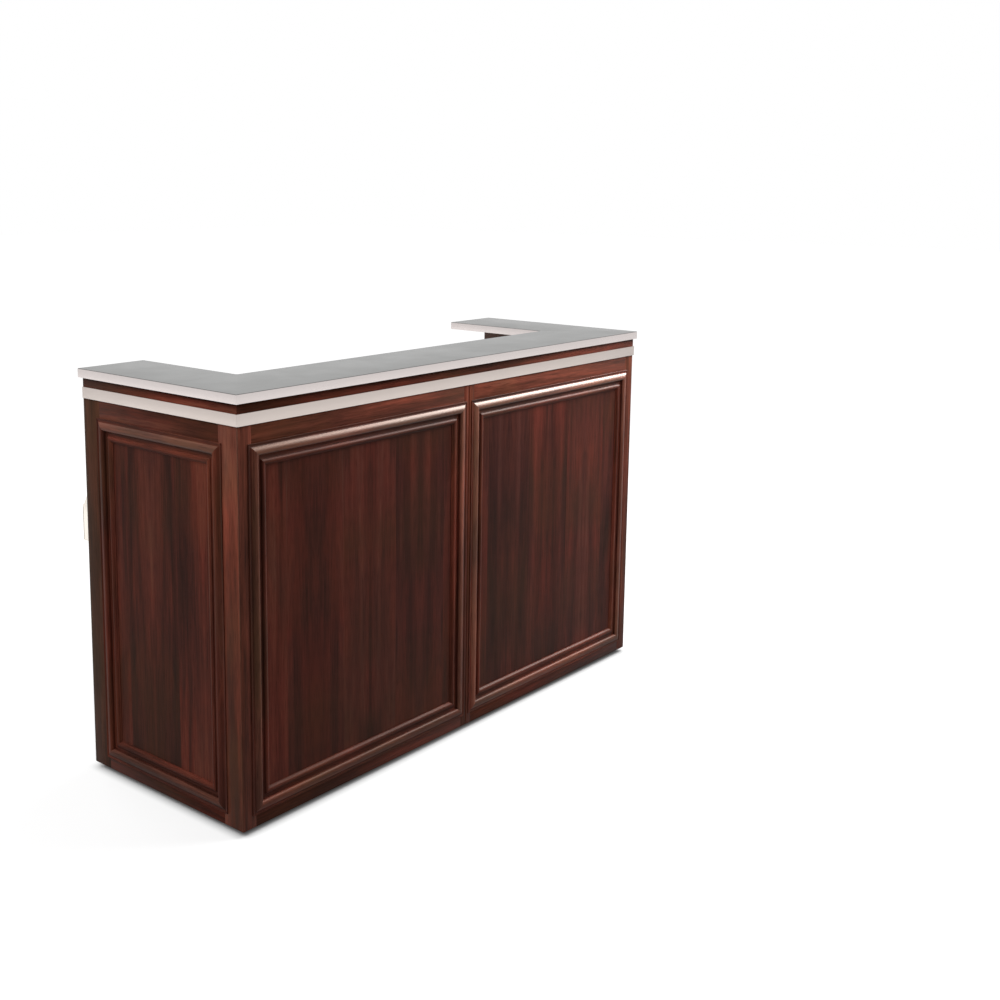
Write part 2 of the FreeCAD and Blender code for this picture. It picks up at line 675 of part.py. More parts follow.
def knuckle(z0, z1):
    barrel = Part.makeCylinder(KNUCKLE_R, z1 - z0, point(HINGE_X, HINGE_Y, z0), UP)
    bore_start = point(HINGE_X, HINGE_Y, z0 - OVERRUN)
    bore_len = z1 - z0 + OVERRUN + OVERRUN
    return barrel.cut(Part.makeCylinder(HINGE_PIN_R + HINGE_PIN_FIT, bore_len, bore_start, UP))


def hinge_leaf(z0, x0, x1, knuckle_spans):
    """One leaf with its tabs and knuckles, between two faces across the door's gap."""
    leaf = box(x0, x1, REAR_Y - HINGE_LEAF_D, REAR_Y - KNUCKLE_GAP, z0, z0 + HINGE_H)
    tab_y = HINGE_Y - HINGE_PIN_R - KNUCKLE_GAP
    pieces = []
    for span0, span1 in knuckle_spans:
        pieces.append(box(x0, x1, REAR_Y - KNUCKLE_R, tab_y, span0, span1))
        pieces.append(knuckle(span0, span1))
    return leaf.fuse(pieces).removeSplitter()


def build_hinges():
    fixed, pins, moving = [], [], []
    end_span = HINGE_H * KNUCKLE_SHARE
    for z0 in hinge_heights():
        z1 = z0 + HINGE_H
        fixed_spans = [(z0, z0 + end_span), (z1 - end_span, z1)]
        moving_spans = [(z0 + end_span + KNUCKLE_GAP, z1 - end_span - KNUCKLE_GAP)]
        fixed_leaf = hinge_leaf(
            z0, PARTITION_INNER_X - HINGE_LEAF_THICK, PARTITION_INNER_X, fixed_spans)
        moving_leaf = hinge_leaf(
            z0, DOOR_EDGE_X, DOOR_EDGE_X + HINGE_LEAF_THICK, moving_spans)
        shank = Part.makeCylinder(HINGE_PIN_R, HINGE_H, point(HINGE_X, HINGE_Y, z0), UP)
        head_r = HINGE_PIN_R + HINGE_PIN_HEAD_RIM
        head = Part.makeCylinder(head_r, HINGE_PIN_HEAD_H, point(HINGE_X, HINGE_Y, z1), UP)
        fixed += both_sides(fixed_leaf)
        pins += both_sides(shank.fuse(head).removeSplitter())
        moving.append(moving_leaf)
    write("hinge_fixed_leaves", fixed)
    write("hinge_pins", pins)
    write("hinge_leaves_right", moving)
    write("hinge_leaves_left", [mirrored(leaf) for leaf in moving])


def knob_head():
    """An oval head with rounded rims, its back KNOB_STEM_LEN behind the door face."""
    ellipse = Part.Ellipse(CENTRE, KNOB_H / 2, KNOB_W / 2)
    disc = Part.Face(Part.Wire([ellipse.toShape()])).extrude(UP * KNOB_THICK)
    disc = disc.makeFillet(KNOB_EDGE_R, [edge for edge in disc.Edges if len(edge.Vertexes) == 1])
    disc.rotate(CENTRE, UP, 90)
    disc.rotate(CENTRE, SIDEWAYS, -90)
    disc.translate(point(KNOB_X, REAR_Y + KNOB_STEM_LEN, KNOB_Z))
    return disc


def build_doors():
    door = box(DOOR_GAP / 2, DOOR_EDGE_X, REAR_Y - DOOR_THICK, REAR_Y, DOOR_Z0, DOOR_Z1)
    seat = point(KNOB_X, REAR_Y, KNOB_Z)
    stem = Part.makeCylinder(KNOB_STEM_R, KNOB_STEM_LEN + KNOB_EDGE_R, seat, REARWARD)
    rose = Part.makeCylinder(KNOB_STEM_R + KNOB_ROSE_RIM, KNOB_ROSE_THICK, seat, REARWARD)
    knob = knob_head().fuse([stem, rose]).removeSplitter()
    write("door_right", [door])
    write("door_left", [mirrored(door)])
    write("door_knob_right", [knob])
    write("door_knob_left", [mirrored(knob)])
    build_hinges()


# Cam lock


def build_lock():
    nut_y = RAIL_FRONT_Y - LOCK_NUT_THICK
    face_y = REAR_Y + LOCK_FLANGE_THICK
    body = lock_cylinder(LOCK_BODY_R, nut_y, REAR_Y)
    flange = lock_cylinder(LOCK_BODY_R + LOCK_FLANGE_RIM, REAR_Y, face_y)
    bore = lock_cylinder(LOCK_PLUG_R + LOCK_PLUG_FIT, nut_y - OVERRUN, face_y + OVERRUN)
    write("lock_body", [body.fuse(flange).cut(bore).removeSplitter()])

    corner_angles = range(0, 360, 60)
    corners = []
    for angle in corner_angles:
        arm = FreeCAD.Rotation(REARWARD, angle).multVec(SIDEWAYS * LOCK_NUT_R)
        corners.append(point(0, nut_y, LOCK_Z) + arm)
    nut = prism(corners, REARWARD * LOCK_NUT_THICK)
    write("lock_nut", [nut.cut(lock_cylinder(LOCK_BODY_R, nut_y - OVERRUN, RAIL_FRONT_Y + OVERRUN))])

    cam_rear_y = nut_y - LOCK_CAM_GAP
    cam_front_y = cam_rear_y - LOCK_CAM_THICK
    plug = lock_cylinder(LOCK_PLUG_R, cam_rear_y, face_y)
    stud = lock_cylinder(LOCK_STUD_R, cam_front_y, cam_rear_y)
    head_r = LOCK_STUD_R + LOCK_STUD_HEAD_RIM
    head = lock_cylinder(head_r, cam_front_y - LOCK_STUD_HEAD_THICK, cam_front_y)
    key_slot = box(
        -KEY_SLOT_W / 2, KEY_SLOT_W / 2, face_y - KEY_SLOT_DEPTH, face_y + OVERRUN,
        LOCK_Z - KEY_SLOT_H / 2, LOCK_Z + KEY_SLOT_H / 2)
    write("lock_plug", [plug.fuse([stud, head]).cut(key_slot).removeSplitter()])

    half_w = LOCK_CAM_W / 2
    arm = box(0, LOCK_CAM_REACH, cam_front_y, cam_rear_y, LOCK_Z - half_w, LOCK_Z + half_w)
    eye = lock_cylinder(half_w, cam_front_y, cam_rear_y)
    hole = lock_cylinder(LOCK_STUD_R, cam_front_y - OVERRUN, cam_rear_y + OVERRUN)
    write("lock_cam", [arm.fuse(eye).cut(hole).removeSplitter()])


# Speed rails


def build_speed_rails():
    x0, x1 = BAY_X - SPEED_W / 2, BAY_X + SPEED_W / 2
    lip_y = REAR_REACH - SPEED_SHEET
    lip_z = SPEED_BOTTOM_Z + SPEED_LIP_H
    back = box(x0, x1, REAR_Y, REAR_Y + SPEED_SHEET, SPEED_BOTTOM_Z, WORKTOP_Z)
    floor = box(x0, x1, REAR_Y, REAR_REACH, SPEED_BOTTOM_Z, SPEED_BOTTOM_Z + SPEED_SHEET)
    lip = box(x0, x1, lip_y, REAR_REACH, SPEED_BOTTOM_Z, lip_z)
    hem = box(x0, x1, lip_y - SPEED_SHEET, REAR_REACH, lip_z - SPEED_HEM, lip_z)
    end_outline = [
        point(x0, REAR_Y, SPEED_BOTTOM_Z), point(x0, REAR_REACH, SPEED_BOTTOM_Z),
        point(x0, REAR_REACH, lip_z), point(x0, REAR_Y + SPEED_SHEET, WORKTOP_Z),
        point(x0, REAR_Y, WORKTOP_Z),
    ]
    near_end = prism(end_outline, SIDEWAYS * SPEED_SHEET)
    far_end = near_end.copy()
    far_end.translate(SIDEWAYS * (SPEED_W - SPEED_SHEET))
    rail = back.fuse([floor, lip, hem, near_end, far_end]).removeSplitter()
    slot_r = STUD_R + STUD_FIT
    plate_y0, plate_y1 = REAR_Y - OVERRUN, REAR_Y + SPEED_SHEET + OVERRUN
    for x in stud_places():
        entry_z = STUD_Z - KEYHOLE_TRAVEL
        rail = rail.cut(stud_cylinder(x, entry_z, STUD_HEAD_R + KEYHOLE_CLEAR, plate_y0, plate_y1))
        rail = rail.cut(stud_cylinder(x, STUD_Z, slot_r, plate_y0, plate_y1))
        rail = rail.cut(box(x - slot_r, x + slot_r, plate_y0, plate_y1, entry_z, STUD_Z))
    write("speed_rail_right", [rail])
    write("speed_rail_left", [mirrored(rail)])

    head_y = REAR_Y + SPEED_SHEET + STUD_HEAD_GAP
    studs = []
    for x in stud_places():
        shank = stud_cylinder(x, STUD_Z, STUD_R, RAIL_FRONT_Y, head_y)
        head = stud_cylinder(x, STUD_Z, STUD_HEAD_R, head_y, head_y + STUD_HEAD_THICK)
        studs += both_sides(shank.fuse(head).removeSplitter())
    write("rail_studs", studs)


# Bay shelves


def build_bay_shelves():
    runner_z = RUNNER_TOP_Z - RUNNER_H
    runner_y1 = REAR_Y - EDGE_BAND_THICK - RUNNER_REAR_GAP
    runners = []
    for x0, x1 in ((PARTITION_OUTER_X, PARTITION_OUTER_X + RUNNER_W), (INNER_X - RUNNER_W, INNER_X)):
        runner = box(x0, x1, INNER_FRONT_Y, runner_y1, runner_z, RUNNER_TOP_Z)
        runners += both_sides(runner)
    write("shelf_runners", runners)
    shelf = box(
        PARTITION_OUTER_X + SHELF_SIDE_GAP, INNER_X - SHELF_SIDE_GAP,
        INNER_FRONT_Y + SHELF_FRONT_GAP, REAR_Y - SHELF_SETBACK,
        RUNNER_TOP_Z, RUNNER_TOP_Z + BOARD_THICK)
    write("bay_shelf_right", [shelf])
    write("bay_shelf_left", [mirrored(shelf)])


# Casters. Each is drawn with its swivel axis on x = y = 0 and its wheel behind it in +X.


def upright_cylinder(radius, z0, z1):
    return Part.makeCylinder(radius, z1 - z0, point(0, 0, z0), UP)


def axle_cylinder(radius, y0, y1):
    return Part.makeCylinder(radius, y1 - y0, point(CASTER_TRAIL, y0, WHEEL_R), REARWARD)


def caster_plate():
    half = PLATE_SIDE / 2
    plate = box(-half, half, -half, half, PLATE_Z, DECK_UNDER_Z)
    hole = upright_cylinder(SCREW_R + SCREW_FIT, PLATE_Z - OVERRUN, DECK_UNDER_Z + OVERRUN)
    for x, y in plate_hole_offsets():
        plate = plate.cut(moved(hole, 0, point(x, y, 0)))
    raceway = upright_cylinder(RACEWAY_R, RACEWAY_Z, PLATE_Z)
    kingpin = upright_cylinder(KINGPIN_R, KINGPIN_HEAD_Z, RACEWAY_Z)
    head = upright_cylinder(KINGPIN_R + KINGPIN_HEAD_RIM, KINGPIN_HEAD_Z, KINGPIN_HEAD_TOP_Z)
    return plate.fuse([raceway, kingpin, head]).removeSplitter()


def caster_screw():
    shank = upright_cylinder(SCREW_R, PLATE_Z, DECK_Z - SCREW_COVER)
    head = upright_cylinder(SCREW_R + SCREW_HEAD_RIM, PLATE_Z - SCREW_HEAD_THICK, PLATE_Z)
    return shank.fuse(head).removeSplitter()


def caster_fork():
    crown = upright_cylinder(CROWN_R, CROWN_Z, CROWN_TOP_Z)
    inner_y = WHEEL_W / 2 + WHEEL_SIDE_GAP
    outer_y = inner_y + FORK_LEG_THICK
    legs = []
    for y in (inner_y, -outer_y):
        outline = [
            point(-FORK_LEG_W / 2, y, CROWN_TOP_Z), point(FORK_LEG_W / 2, y, CROWN_TOP_Z),
            point(CASTER_TRAIL + FORK_BOSS_R, y, WHEEL_R),
            point(CASTER_TRAIL - FORK_BOSS_R, y, WHEEL_R),
        ]
        leg = prism(outline, REARWARD * FORK_LEG_THICK)
        boss = axle_cylinder(FORK_BOSS_R, y, y + FORK_LEG_THICK)
        legs += [leg, boss]
    fork = crown.fuse(legs)
    kingpin_hole = upright_cylinder(KINGPIN_R + KINGPIN_FIT, CROWN_Z - OVERRUN, CROWN_TOP_Z + OVERRUN)
    fork = fork.cut(kingpin_hole)
    fork = fork.cut(axle_cylinder(AXLE_R + AXLE_SEAT_FIT, -outer_y - OVERRUN, outer_y + OVERRUN))
    return fork.removeSplitter()


def caster_axle():
    outer_y = WHEEL_W / 2 + WHEEL_SIDE_GAP + FORK_LEG_THICK
    rod = axle_cylinder(AXLE_R, -outer_y, outer_y)
    head_r = AXLE_R + AXLE_HEAD_RIM
    head = axle_cylinder(head_r, outer_y, outer_y + AXLE_HEAD_THICK)
    nut = axle_cylinder(head_r, -outer_y - AXLE_HEAD_THICK, -outer_y)
    return rod.fuse([head, nut]).removeSplitter()


def caster_wheel():
    """Hub, web and rim in one, with rounded shoulders on the tread."""
    half_w, half_web = WHEEL_W / 2, WHEEL_WEB_W / 2
    bore_r = AXLE_R + AXLE_FIT

    def at(radius, y):
        return point(CASTER_TRAIL, y, WHEEL_R + radius)

    shoulder_r = WHEEL_R - TREAD_ROUND
    rim_r = shoulder_r - WHEEL_TYRE
    tread_y = half_w - TREAD_ROUND
    bend = TREAD_ROUND * (1 - 0.5 ** 0.5)
    mid_r, mid_y = WHEEL_R - bend, half_w - bend
    edges = [
        Part.LineSegment(at(bore_r, -half_w), at(WHEEL_HUB_R, -half_w)),
        Part.LineSegment(at(WHEEL_HUB_R, -half_w), at(WHEEL_HUB_R, -half_web)),
        Part.LineSegment(at(WHEEL_HUB_R, -half_web), at(rim_r, -half_web)),
        Part.LineSegment(at(rim_r, -half_web), at(rim_r, -half_w)),
        Part.LineSegment(at(rim_r, -half_w), at(shoulder_r, -half_w)),
        Part.Arc(at(shoulder_r, -half_w), at(mid_r, -mid_y), at(WHEEL_R, -tread_y)),
        Part.LineSegment(at(WHEEL_R, -tread_y), at(WHEEL_R, tread_y)),
        Part.Arc(at(WHEEL_R, tread_y), at(mid_r, mid_y), at(shoulder_r, half_w)),
        Part.LineSegment(at(shoulder_r, half_w), at(rim_r, half_w)),
        Part.LineSegment(at(rim_r, half_w), at(rim_r, half_web)),
        Part.LineSegment(at(rim_r, half_web), at(WHEEL_HUB_R, half_web)),
        Part.LineSegment(at(WHEEL_HUB_R, half_web), at(WHEEL_HUB_R, half_w)),
        Part.LineSegment(at(WHEEL_HUB_R, half_w), at(bore_r, half_w)),
        Part.LineSegment(at(bore_r, half_w), at(bore_r, -half_w)),
    ]
    section = Part.Face(Part.Wire([edge.toShape() for edge in edges]))
    return section.revolve(at(0, 0), REARWARD, 360)


def build_casters():
    plate, fork, axle, wheel = caster_plate(), caster_fork(), caster_axle(), caster_wheel()
    plates = []
    for name, (x, y) in caster_places().items():
        place = point(x, y, 0)
        plates.append(moved(plate, 0, place))
        write("caster_fork_" + name, [moved(fork, 0, place)])
        write("caster_axle_" + name, [moved(axle, 0, place)])
        write("caster_wheel_" + name, [moved(wheel, 0, place)])
    write("caster_plates", plates)
    screw = caster_screw()
    write("caster_screws", [moved(screw, 0, point(x, y, 0)) for x, y in screw_places()])


def build():
    build_front_wall()
    build_end_walls()
    build_counter()
    build_carcass()
    build_worktop()
    build_ice_bin()
    build_doors()
    build_lock()
    build_speed_rails()
    build_bay_shelves()
    build_casters()


build()
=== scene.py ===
"""The finished look of a portable bar: surfaces, fine shapes, floor, light and camera.

All lengths are in metres. +X runs along the customer's side, +Y to the working side, +Z up.
"""

import math

import bmesh
import bpy
from mathutils import Matrix, Vector


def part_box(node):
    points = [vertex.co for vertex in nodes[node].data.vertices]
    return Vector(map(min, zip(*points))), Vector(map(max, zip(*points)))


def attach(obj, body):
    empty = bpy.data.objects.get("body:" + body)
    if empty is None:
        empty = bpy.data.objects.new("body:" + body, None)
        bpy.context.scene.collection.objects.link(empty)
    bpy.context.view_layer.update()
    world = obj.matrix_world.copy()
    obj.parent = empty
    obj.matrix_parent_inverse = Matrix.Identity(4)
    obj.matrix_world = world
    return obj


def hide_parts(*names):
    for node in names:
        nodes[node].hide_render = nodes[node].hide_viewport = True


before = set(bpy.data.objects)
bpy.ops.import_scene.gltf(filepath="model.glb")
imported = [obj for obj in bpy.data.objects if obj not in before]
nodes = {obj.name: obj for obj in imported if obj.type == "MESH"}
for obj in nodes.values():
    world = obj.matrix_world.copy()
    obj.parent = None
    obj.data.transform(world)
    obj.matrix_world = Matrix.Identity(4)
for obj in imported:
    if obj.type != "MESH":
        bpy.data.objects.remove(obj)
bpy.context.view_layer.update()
collection = bpy.context.scene.collection

MM = 0.001

# Sizes of the framed walls
ARRIS_R = 3 * MM
BOARD_EASE = 0.5 * MM
JOINT_CHAMFER = 2 * MM
PANEL_RECESS = 6 * MM
CORNER_STILE_W = 45 * MM
MIDDLE_STILE_W = 23 * MM
END_STILE_W = 71 * MM
EDGE_BAND_THICK = 2 * MM
EDGE_BAND_EASE = 0.4 * MM
MITRE_MARGIN = 0.1 * MM

# Sizes of the moulding's section
MOULD_LAP = 12 * MM
FILLET_W = 2 * MM
HOLLOW_W = MOULD_LAP - 2 * FILLET_W
HOLLOW_SAG = 1.3 * MM
OUTER_BEAD_W = 22 * MM
OUTER_SHOULDER_H = 8.5 * MM
OUTER_BEAD_RISE = 5 * MM
OUTER_BEAD_LEAN = 3 * MM
MOULD_GROOVE_W = 13 * MM
MOULD_GROOVE_DEPTH = 2 * MM
MOULD_GROOVE_SAG = 0.8 * MM
INNER_BEAD_W = 13 * MM
INNER_SHOULDER_H = 5 * MM
INNER_BEAD_RISE = 3 * MM
COVE_W = 4 * MM
COVE_END_H = 1.5 * MM
COVE_SAG = 0.8 * MM
MITRE_GAP = 0.05 * MM
BEAD_MARGIN = 1 * MM
BEAD_LIFT_MARGIN = 0.2 * MM

# Sizes of the counter
SLAB_FRONT_D = 250 * MM
SLAB_RETURN_W = 222 * MM
SLAB_SKIN = 1.5 * MM
SLAB_EDGE_R = 2.5 * MM
SLAB_HEM_R = 0.5 * MM
SLAB_HEM_H = 4.5 * MM
SLAB_HEM_EASE = 0.15 * MM
SLAB_CORNER_R = 3 * MM
SLAB_INNER_R = 4 * MM
STRIP_THICK = 3 * MM
STRIP_EASE = 0.6 * MM

# Sizes of the sheet-metal parts
SPEED_SHEET = 1.5 * MM
SPEED_BEND_R = 2 * MM
SPEED_HEM = 8 * MM
SPEED_HEM_GAP = 0.2 * MM
SPEED_LIP_H = 105 * MM
SPEED_EASE = 0.15 * MM
CHEEK_EASE = 0.2 * MM
CHEEK_TOP_R = 6 * MM
CHEEK_FIT = 0.1 * MM
STUD_INSET = 60 * MM
STUD_DROP = 25 * MM
SLOT_R = 3.65 * MM
ENTRY_R = 7.2 * MM
KEYHOLE_TRAVEL = 14 * MM
CUTTER_REACH = 5 * MM

# Sizes of the ice bin
BIN_FLANGE_W = 12 * MM
BIN_WALL = 1.2 * MM
BIN_CORNER_R = 22 * MM
BIN_RIM_R = 3 * MM
BIN_FOOT_R = 16 * MM
BIN_FLOOR_FALL = 3 * MM
BIN_EASE = 0.4 * MM
BIN_SKIN = 0.5 * MM
DRAIN_SEAT_R = 18.2 * MM
DRAIN_LIP_R = 0.9 * DRAIN_SEAT_R
DRAIN_LIP_DROP = 0.2 * MM

# Sizes of the doors and knobs
DOOR_BAND = 1 * MM
DOOR_BAND_EASE = 0.3 * MM
KNOB_STEM_R = 6 * MM
KNOB_ROSE_R = 9 * MM
KNOB_ROSE_THICK = 2 * MM
KNOB_WAIST_R = 4.6 * MM
KNOB_STEM_LEN = 13 * MM
KNOB_FOOT_SHARE = 0.45
KNOB_UNDER_SHARE = 0.32
KNOB_STEPS = 40

# The number before the first board of a piece. It picks the board's place in the grain.
FRAME_BOARDS = {"front_left": 44, "front_right": 55, "end_left": 92, "end_right": 115}
TOP_BAND_BOARDS = 40
DOOR_BOARDS = {"left": 5, "right": 6}

# Materials of a framed wall, and of a moulding
PLAIN, LOWER_RAIL, ARRIS, UPPER_RAIL, CORNER_STILE = range(5)
UPRIGHT, LEVEL, UPRIGHT_BEAD, UPPER_BEAD, LOWER_BEAD = range(5)


# Mesh helpers


def arc(centre, radius, start_deg, end_deg, steps):
    """Points on an arc, both ends included."""
    points = []
    for i in range(steps + 1):
        angle = math.radians(start_deg + (end_deg - start_deg) * i / steps)
        points.append(Vector(centre) + radius * Vector((math.cos(angle), math.sin(angle))))
    return points


def bulge(start, end, rise, steps):
    """A flat arc between two points that stands out by a rise to the left of the way."""
    start, end = Vector(start), Vector(end)
    chord = end - start
    half = chord.length / 2
    radius = (half ** 2 + rise ** 2) / (2 * abs(rise))
    normal = Vector((-chord.y, chord.x)).normalized() * math.copysign(1, rise)
    centre = (start + end) / 2 - normal * (radius - abs(rise))
    spread = math.asin(min(1, half / radius))
    points = []
    for i in range(steps + 1):
        turn = spread * (1 - 2 * i / steps)
        points.append(centre + radius * (normal * math.cos(turn) - chord.normalized() * math.sin(turn)))
    return points


class Shape:
    """Collects the closed shapes of one piece, each with its own place in the grain."""

    def __init__(self, boards=0):
        self.bm = bmesh.new()
        self.board_layer = self.bm.verts.layers.float.new("board")
        self.done_layer = self.bm.faces.layers.int.new("done")
        self.boards = boards

    def close(self, ease=0.0, segments=2, material=0, keep_sharp=None, limit_deg=40):
        """Ends one shape: eases its sharp edges and gives it a material and a board number."""
        fresh = [face for face in self.bm.faces if not face[self.done_layer]]
        bmesh.ops.recalc_face_normals(self.bm, faces=fresh)
        if ease:
            edges = {edge for face in fresh for edge in face.edges}
            sharp = [
                edge for edge in edges
                if len(edge.link_faces) == 2
                and edge.calc_face_angle(0) > math.radians(limit_deg)
                and not (keep_sharp and keep_sharp(edge))
            ]
            bmesh.ops.bevel(
                self.bm, geom=sharp, offset=ease, segments=segments, profile=0.5,
                affect="EDGES", clamp_overlap=True)
        self.boards += 1
        for face in self.bm.faces:
            if not face[self.done_layer]:
                face[self.done_layer] = 1
                face.material_index = material
                for vert in face.verts:
                    vert[self.board_layer] = self.boards

    def loft(self, rings, closed_ends=True):
        """Skins a list of rings of points. The rings have as many points each."""
        rows = [[self.bm.verts.new(point) for point in ring] for ring in rings]
        for lower, upper in zip(rows, rows[1:]):
            for i in range(len(lower)):
                j = (i + 1) % len(lower)
                self.bm.faces.new((lower[i], lower[j], upper[j], upper[i]))
        if closed_ends:
            self.bm.faces.new(list(reversed(rows[0])))
            self.bm.faces.new(rows[-1])
        return rows

    def prism(self, outline, low, high, place):
        """Pushes a flat outline from low to high. place turns (u, v, height) into a point."""
        self.loft([[place(u, v, height) for u, v in outline] for height in (low, high)])

    def block(self, low, high, **finish):
        """An upright box between two corners."""
        outline = [(low[0], low[1]), (high[0], low[1]), (high[0], high[1]), (low[0], high[1])]
        self.prism(outline, low[2], high[2], lambda u, v, height: (u, v, height))
        self.close(**finish)

    def piece(self, name, materials, slot, replaces, body="root", smooth_deg=32):
        """Makes the object, which rides on a body and stands for the nodes that it replaces."""
        mesh = bpy.data.meshes.new(name)
        self.bm.faces.layers.int.remove(self.done_layer)
        self.bm.to_mesh(mesh)
        self.bm.free()
        for material in materials:
            mesh.materials.append(looks[material])
        mesh.shade_smooth()
        mesh.set_sharp_from_angle(angle=math.radians(smooth_deg))
        made = bpy.data.objects.new(name, mesh)
        collection.objects.link(made)
        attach(made, body)
        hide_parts(*replaces)
        return made


# Material helpers


class Tree:
    """Short calls that build a node tree."""

    def __init__(self, holder):
        holder.use_nodes = True
        self.tree = holder.node_tree
        self.tree.nodes.clear()

    def add(self, kind, settings=None, **inputs):
        node = self.tree.nodes.new(kind)
        for key, value in (settings or {}).items():
            setattr(node, key, value)
        for key, value in inputs.items():
            self.put(node, key.replace("_", " "), value)
        return node

    def put(self, node, key, value):
        """Links a socket to an input, or sets the input's own value. key is a name or a number."""
        socket = node.inputs[key]
        if isinstance(value, bpy.types.NodeSocket):
            self.tree.links.new(value, socket)
        elif socket.type == "RGBA":
            socket.default_value = (*value, 1.0)
        else:
            socket.default_value = value

    def two(self, kind, settings, a, b, output=0):
        """A node whose first two inputs are given."""
        node = self.add(kind, settings)
        self.put(node, 0, a)
        self.put(node, 1, b)
        return node.outputs[output]

    def math(self, operation, a, b=0.0):
        return self.two("ShaderNodeMath", {"operation": operation}, a, b)

    def total(self, *parts):
        """Sums sockets, each with its weight."""
        result = 0.0
        for socket, weight in parts:
            result = self.math("ADD", result, self.math("MULTIPLY", socket, weight))
        return result

    def fit(self, value, low, high, to_low, to_high, kind="LINEAR"):
        """Maps a range onto another one, and stays inside it."""
        node = self.add("ShaderNodeMapRange", {"interpolation_type": kind}, Value=value)
        ends = {"From Min": low, "From Max": high, "To Min": to_low, "To Max": to_high}
        for key, number in ends.items():
            node.inputs[key].default_value = number
        return node.outputs["Result"]

    def split(self, vector):
        return self.add("ShaderNodeSeparateXYZ", Vector=vector).outputs

    def coords(self):
        return self.add("ShaderNodeTexCoord").outputs["Object"]

    def end(self, kind, shader):
        self.add(kind, Surface=shader)


# The object's materials by their names
looks = {}


class Surface(Tree):
    """One material of the object, with its pattern helpers."""

    def __init__(self, name):
        looks[name] = bpy.data.materials.new(name)
        super().__init__(looks[name])
        self.shader = self.add("ShaderNodeBsdfPrincipled")
        self.end("ShaderNodeOutputMaterial", self.shader.outputs["BSDF"])

    def set(self, **values):
        for key, value in values.items():
            self.put(self.shader, key.replace("_", " "), value)

    def stretch(self, vector, scale):
        return self.add("ShaderNodeMapping", Vector=vector, Scale=scale).outputs[0]

    def place(self, scale=(1, 1, 1)):
        """Object coordinates, moved for each board and stretched."""
        board = self.add("ShaderNodeAttribute", {"attribute_name": "board"}).outputs["Fac"]
        shift = self.add("ShaderNodeVectorMath", {"operation": "SCALE"}, Scale=board)
        shift.inputs[0].default_value = BOARD_SHIFT
        moved = self.two("ShaderNodeVectorMath", {"operation": "ADD"}, self.coords(), shift.outputs[0])
        return self.stretch(moved, scale)

    def noise(self, vector, scale, detail=2.0, rough=0.5, distort=0.0):
        return self.add(
            "ShaderNodeTexNoise", Vector=vector, Scale=scale, Detail=detail,
            Roughness=rough, Distortion=distort).outputs["Fac"]

    def mix(self, factor, a, b, blend="MIX"):
        node = self.add("ShaderNodeMix", {"data_type": "RGBA", "blend_type": blend})
        for key, value in ((0, factor), (6, a), (7, b)):
            self.put(node, key, value)
        return node.outputs[2]

    def ramp(self, factor, *stops):
        node = self.add("ShaderNodeValToRGB", Fac=factor)
        elements = node.color_ramp.elements
        while len(elements) < len(stops):
            elements.new(0.5)
        for element, (position, colour) in zip(elements, stops):
            element.position = position
            element.color = (*colour, 1.0)
        return node.outputs["Color"]

    def rough(self, value, middle, below, above, low=0.3, high=0.7):
        """A roughness that wavers with a pattern."""
        self.set(Roughness=self.fit(value, low, high, middle - below, middle + above))

    def bump(self, height, distance, strength=1.0):
        node = self.add("ShaderNodeBump", Height=height, Distance=distance, Strength=strength)
        self.put(self.shader, "Normal", node.outputs[0])


BOARD_SHIFT = (3.17, 5.31, 7.73)
AXIS_NUMBER = {"X": 0, "Y": 1, "Z": 2}
LEAF_W = 0.105

# Noise patterns: scale, detail, roughness and distortion
WIDE_GRAIN = (13, 4, 0.58, 0.9)
STREAKS = (80, 4, 0.62, 0.3)
FINE_GRAIN = (420, 3, 0.6)
CLOUDS = (3.2, 2, 0.5)
PORES = (900, 1, 0.5)
FIGURE = (7.5, 4, 0.6, 0.5)
WIDE_PRINT = (14, 3, 0.55, 0.3)
FINE_PRINT = (130, 4, 0.6)
BRUSH_LINES = (900, 3, 0.6)
BRUSH_BANDS = (120, 2, 0.5)
HAND_MARKS = (7, 3, 0.55, 0.4)
MOTTLE = (260, 3, 0.6)

# How far each pattern is drawn out along its axis
GRAIN_STRETCH = 0.045
FIGURE_STRETCH = 0.22
PORE_STRETCH = 0.02
PRINT_STRETCH = 0.05
BRUSH_STRETCH = 0.012

# Heights of the patterns' relief
GRAIN_RELIEF = 0.12 * MM
PRINT_RELIEF = 0.05 * MM
BRUSH_RELIEF = 0.02 * MM
PLATING_RELIEF = 0.03 * MM


def stretched(axis, along):
    """A scale that draws a pattern out along one axis."""
    scale = [1.0] * 3
    scale[AXIS_NUMBER[axis]] = along
    return tuple(scale)


def scaled(colour, share):
    return tuple(channel * share for channel in colour)


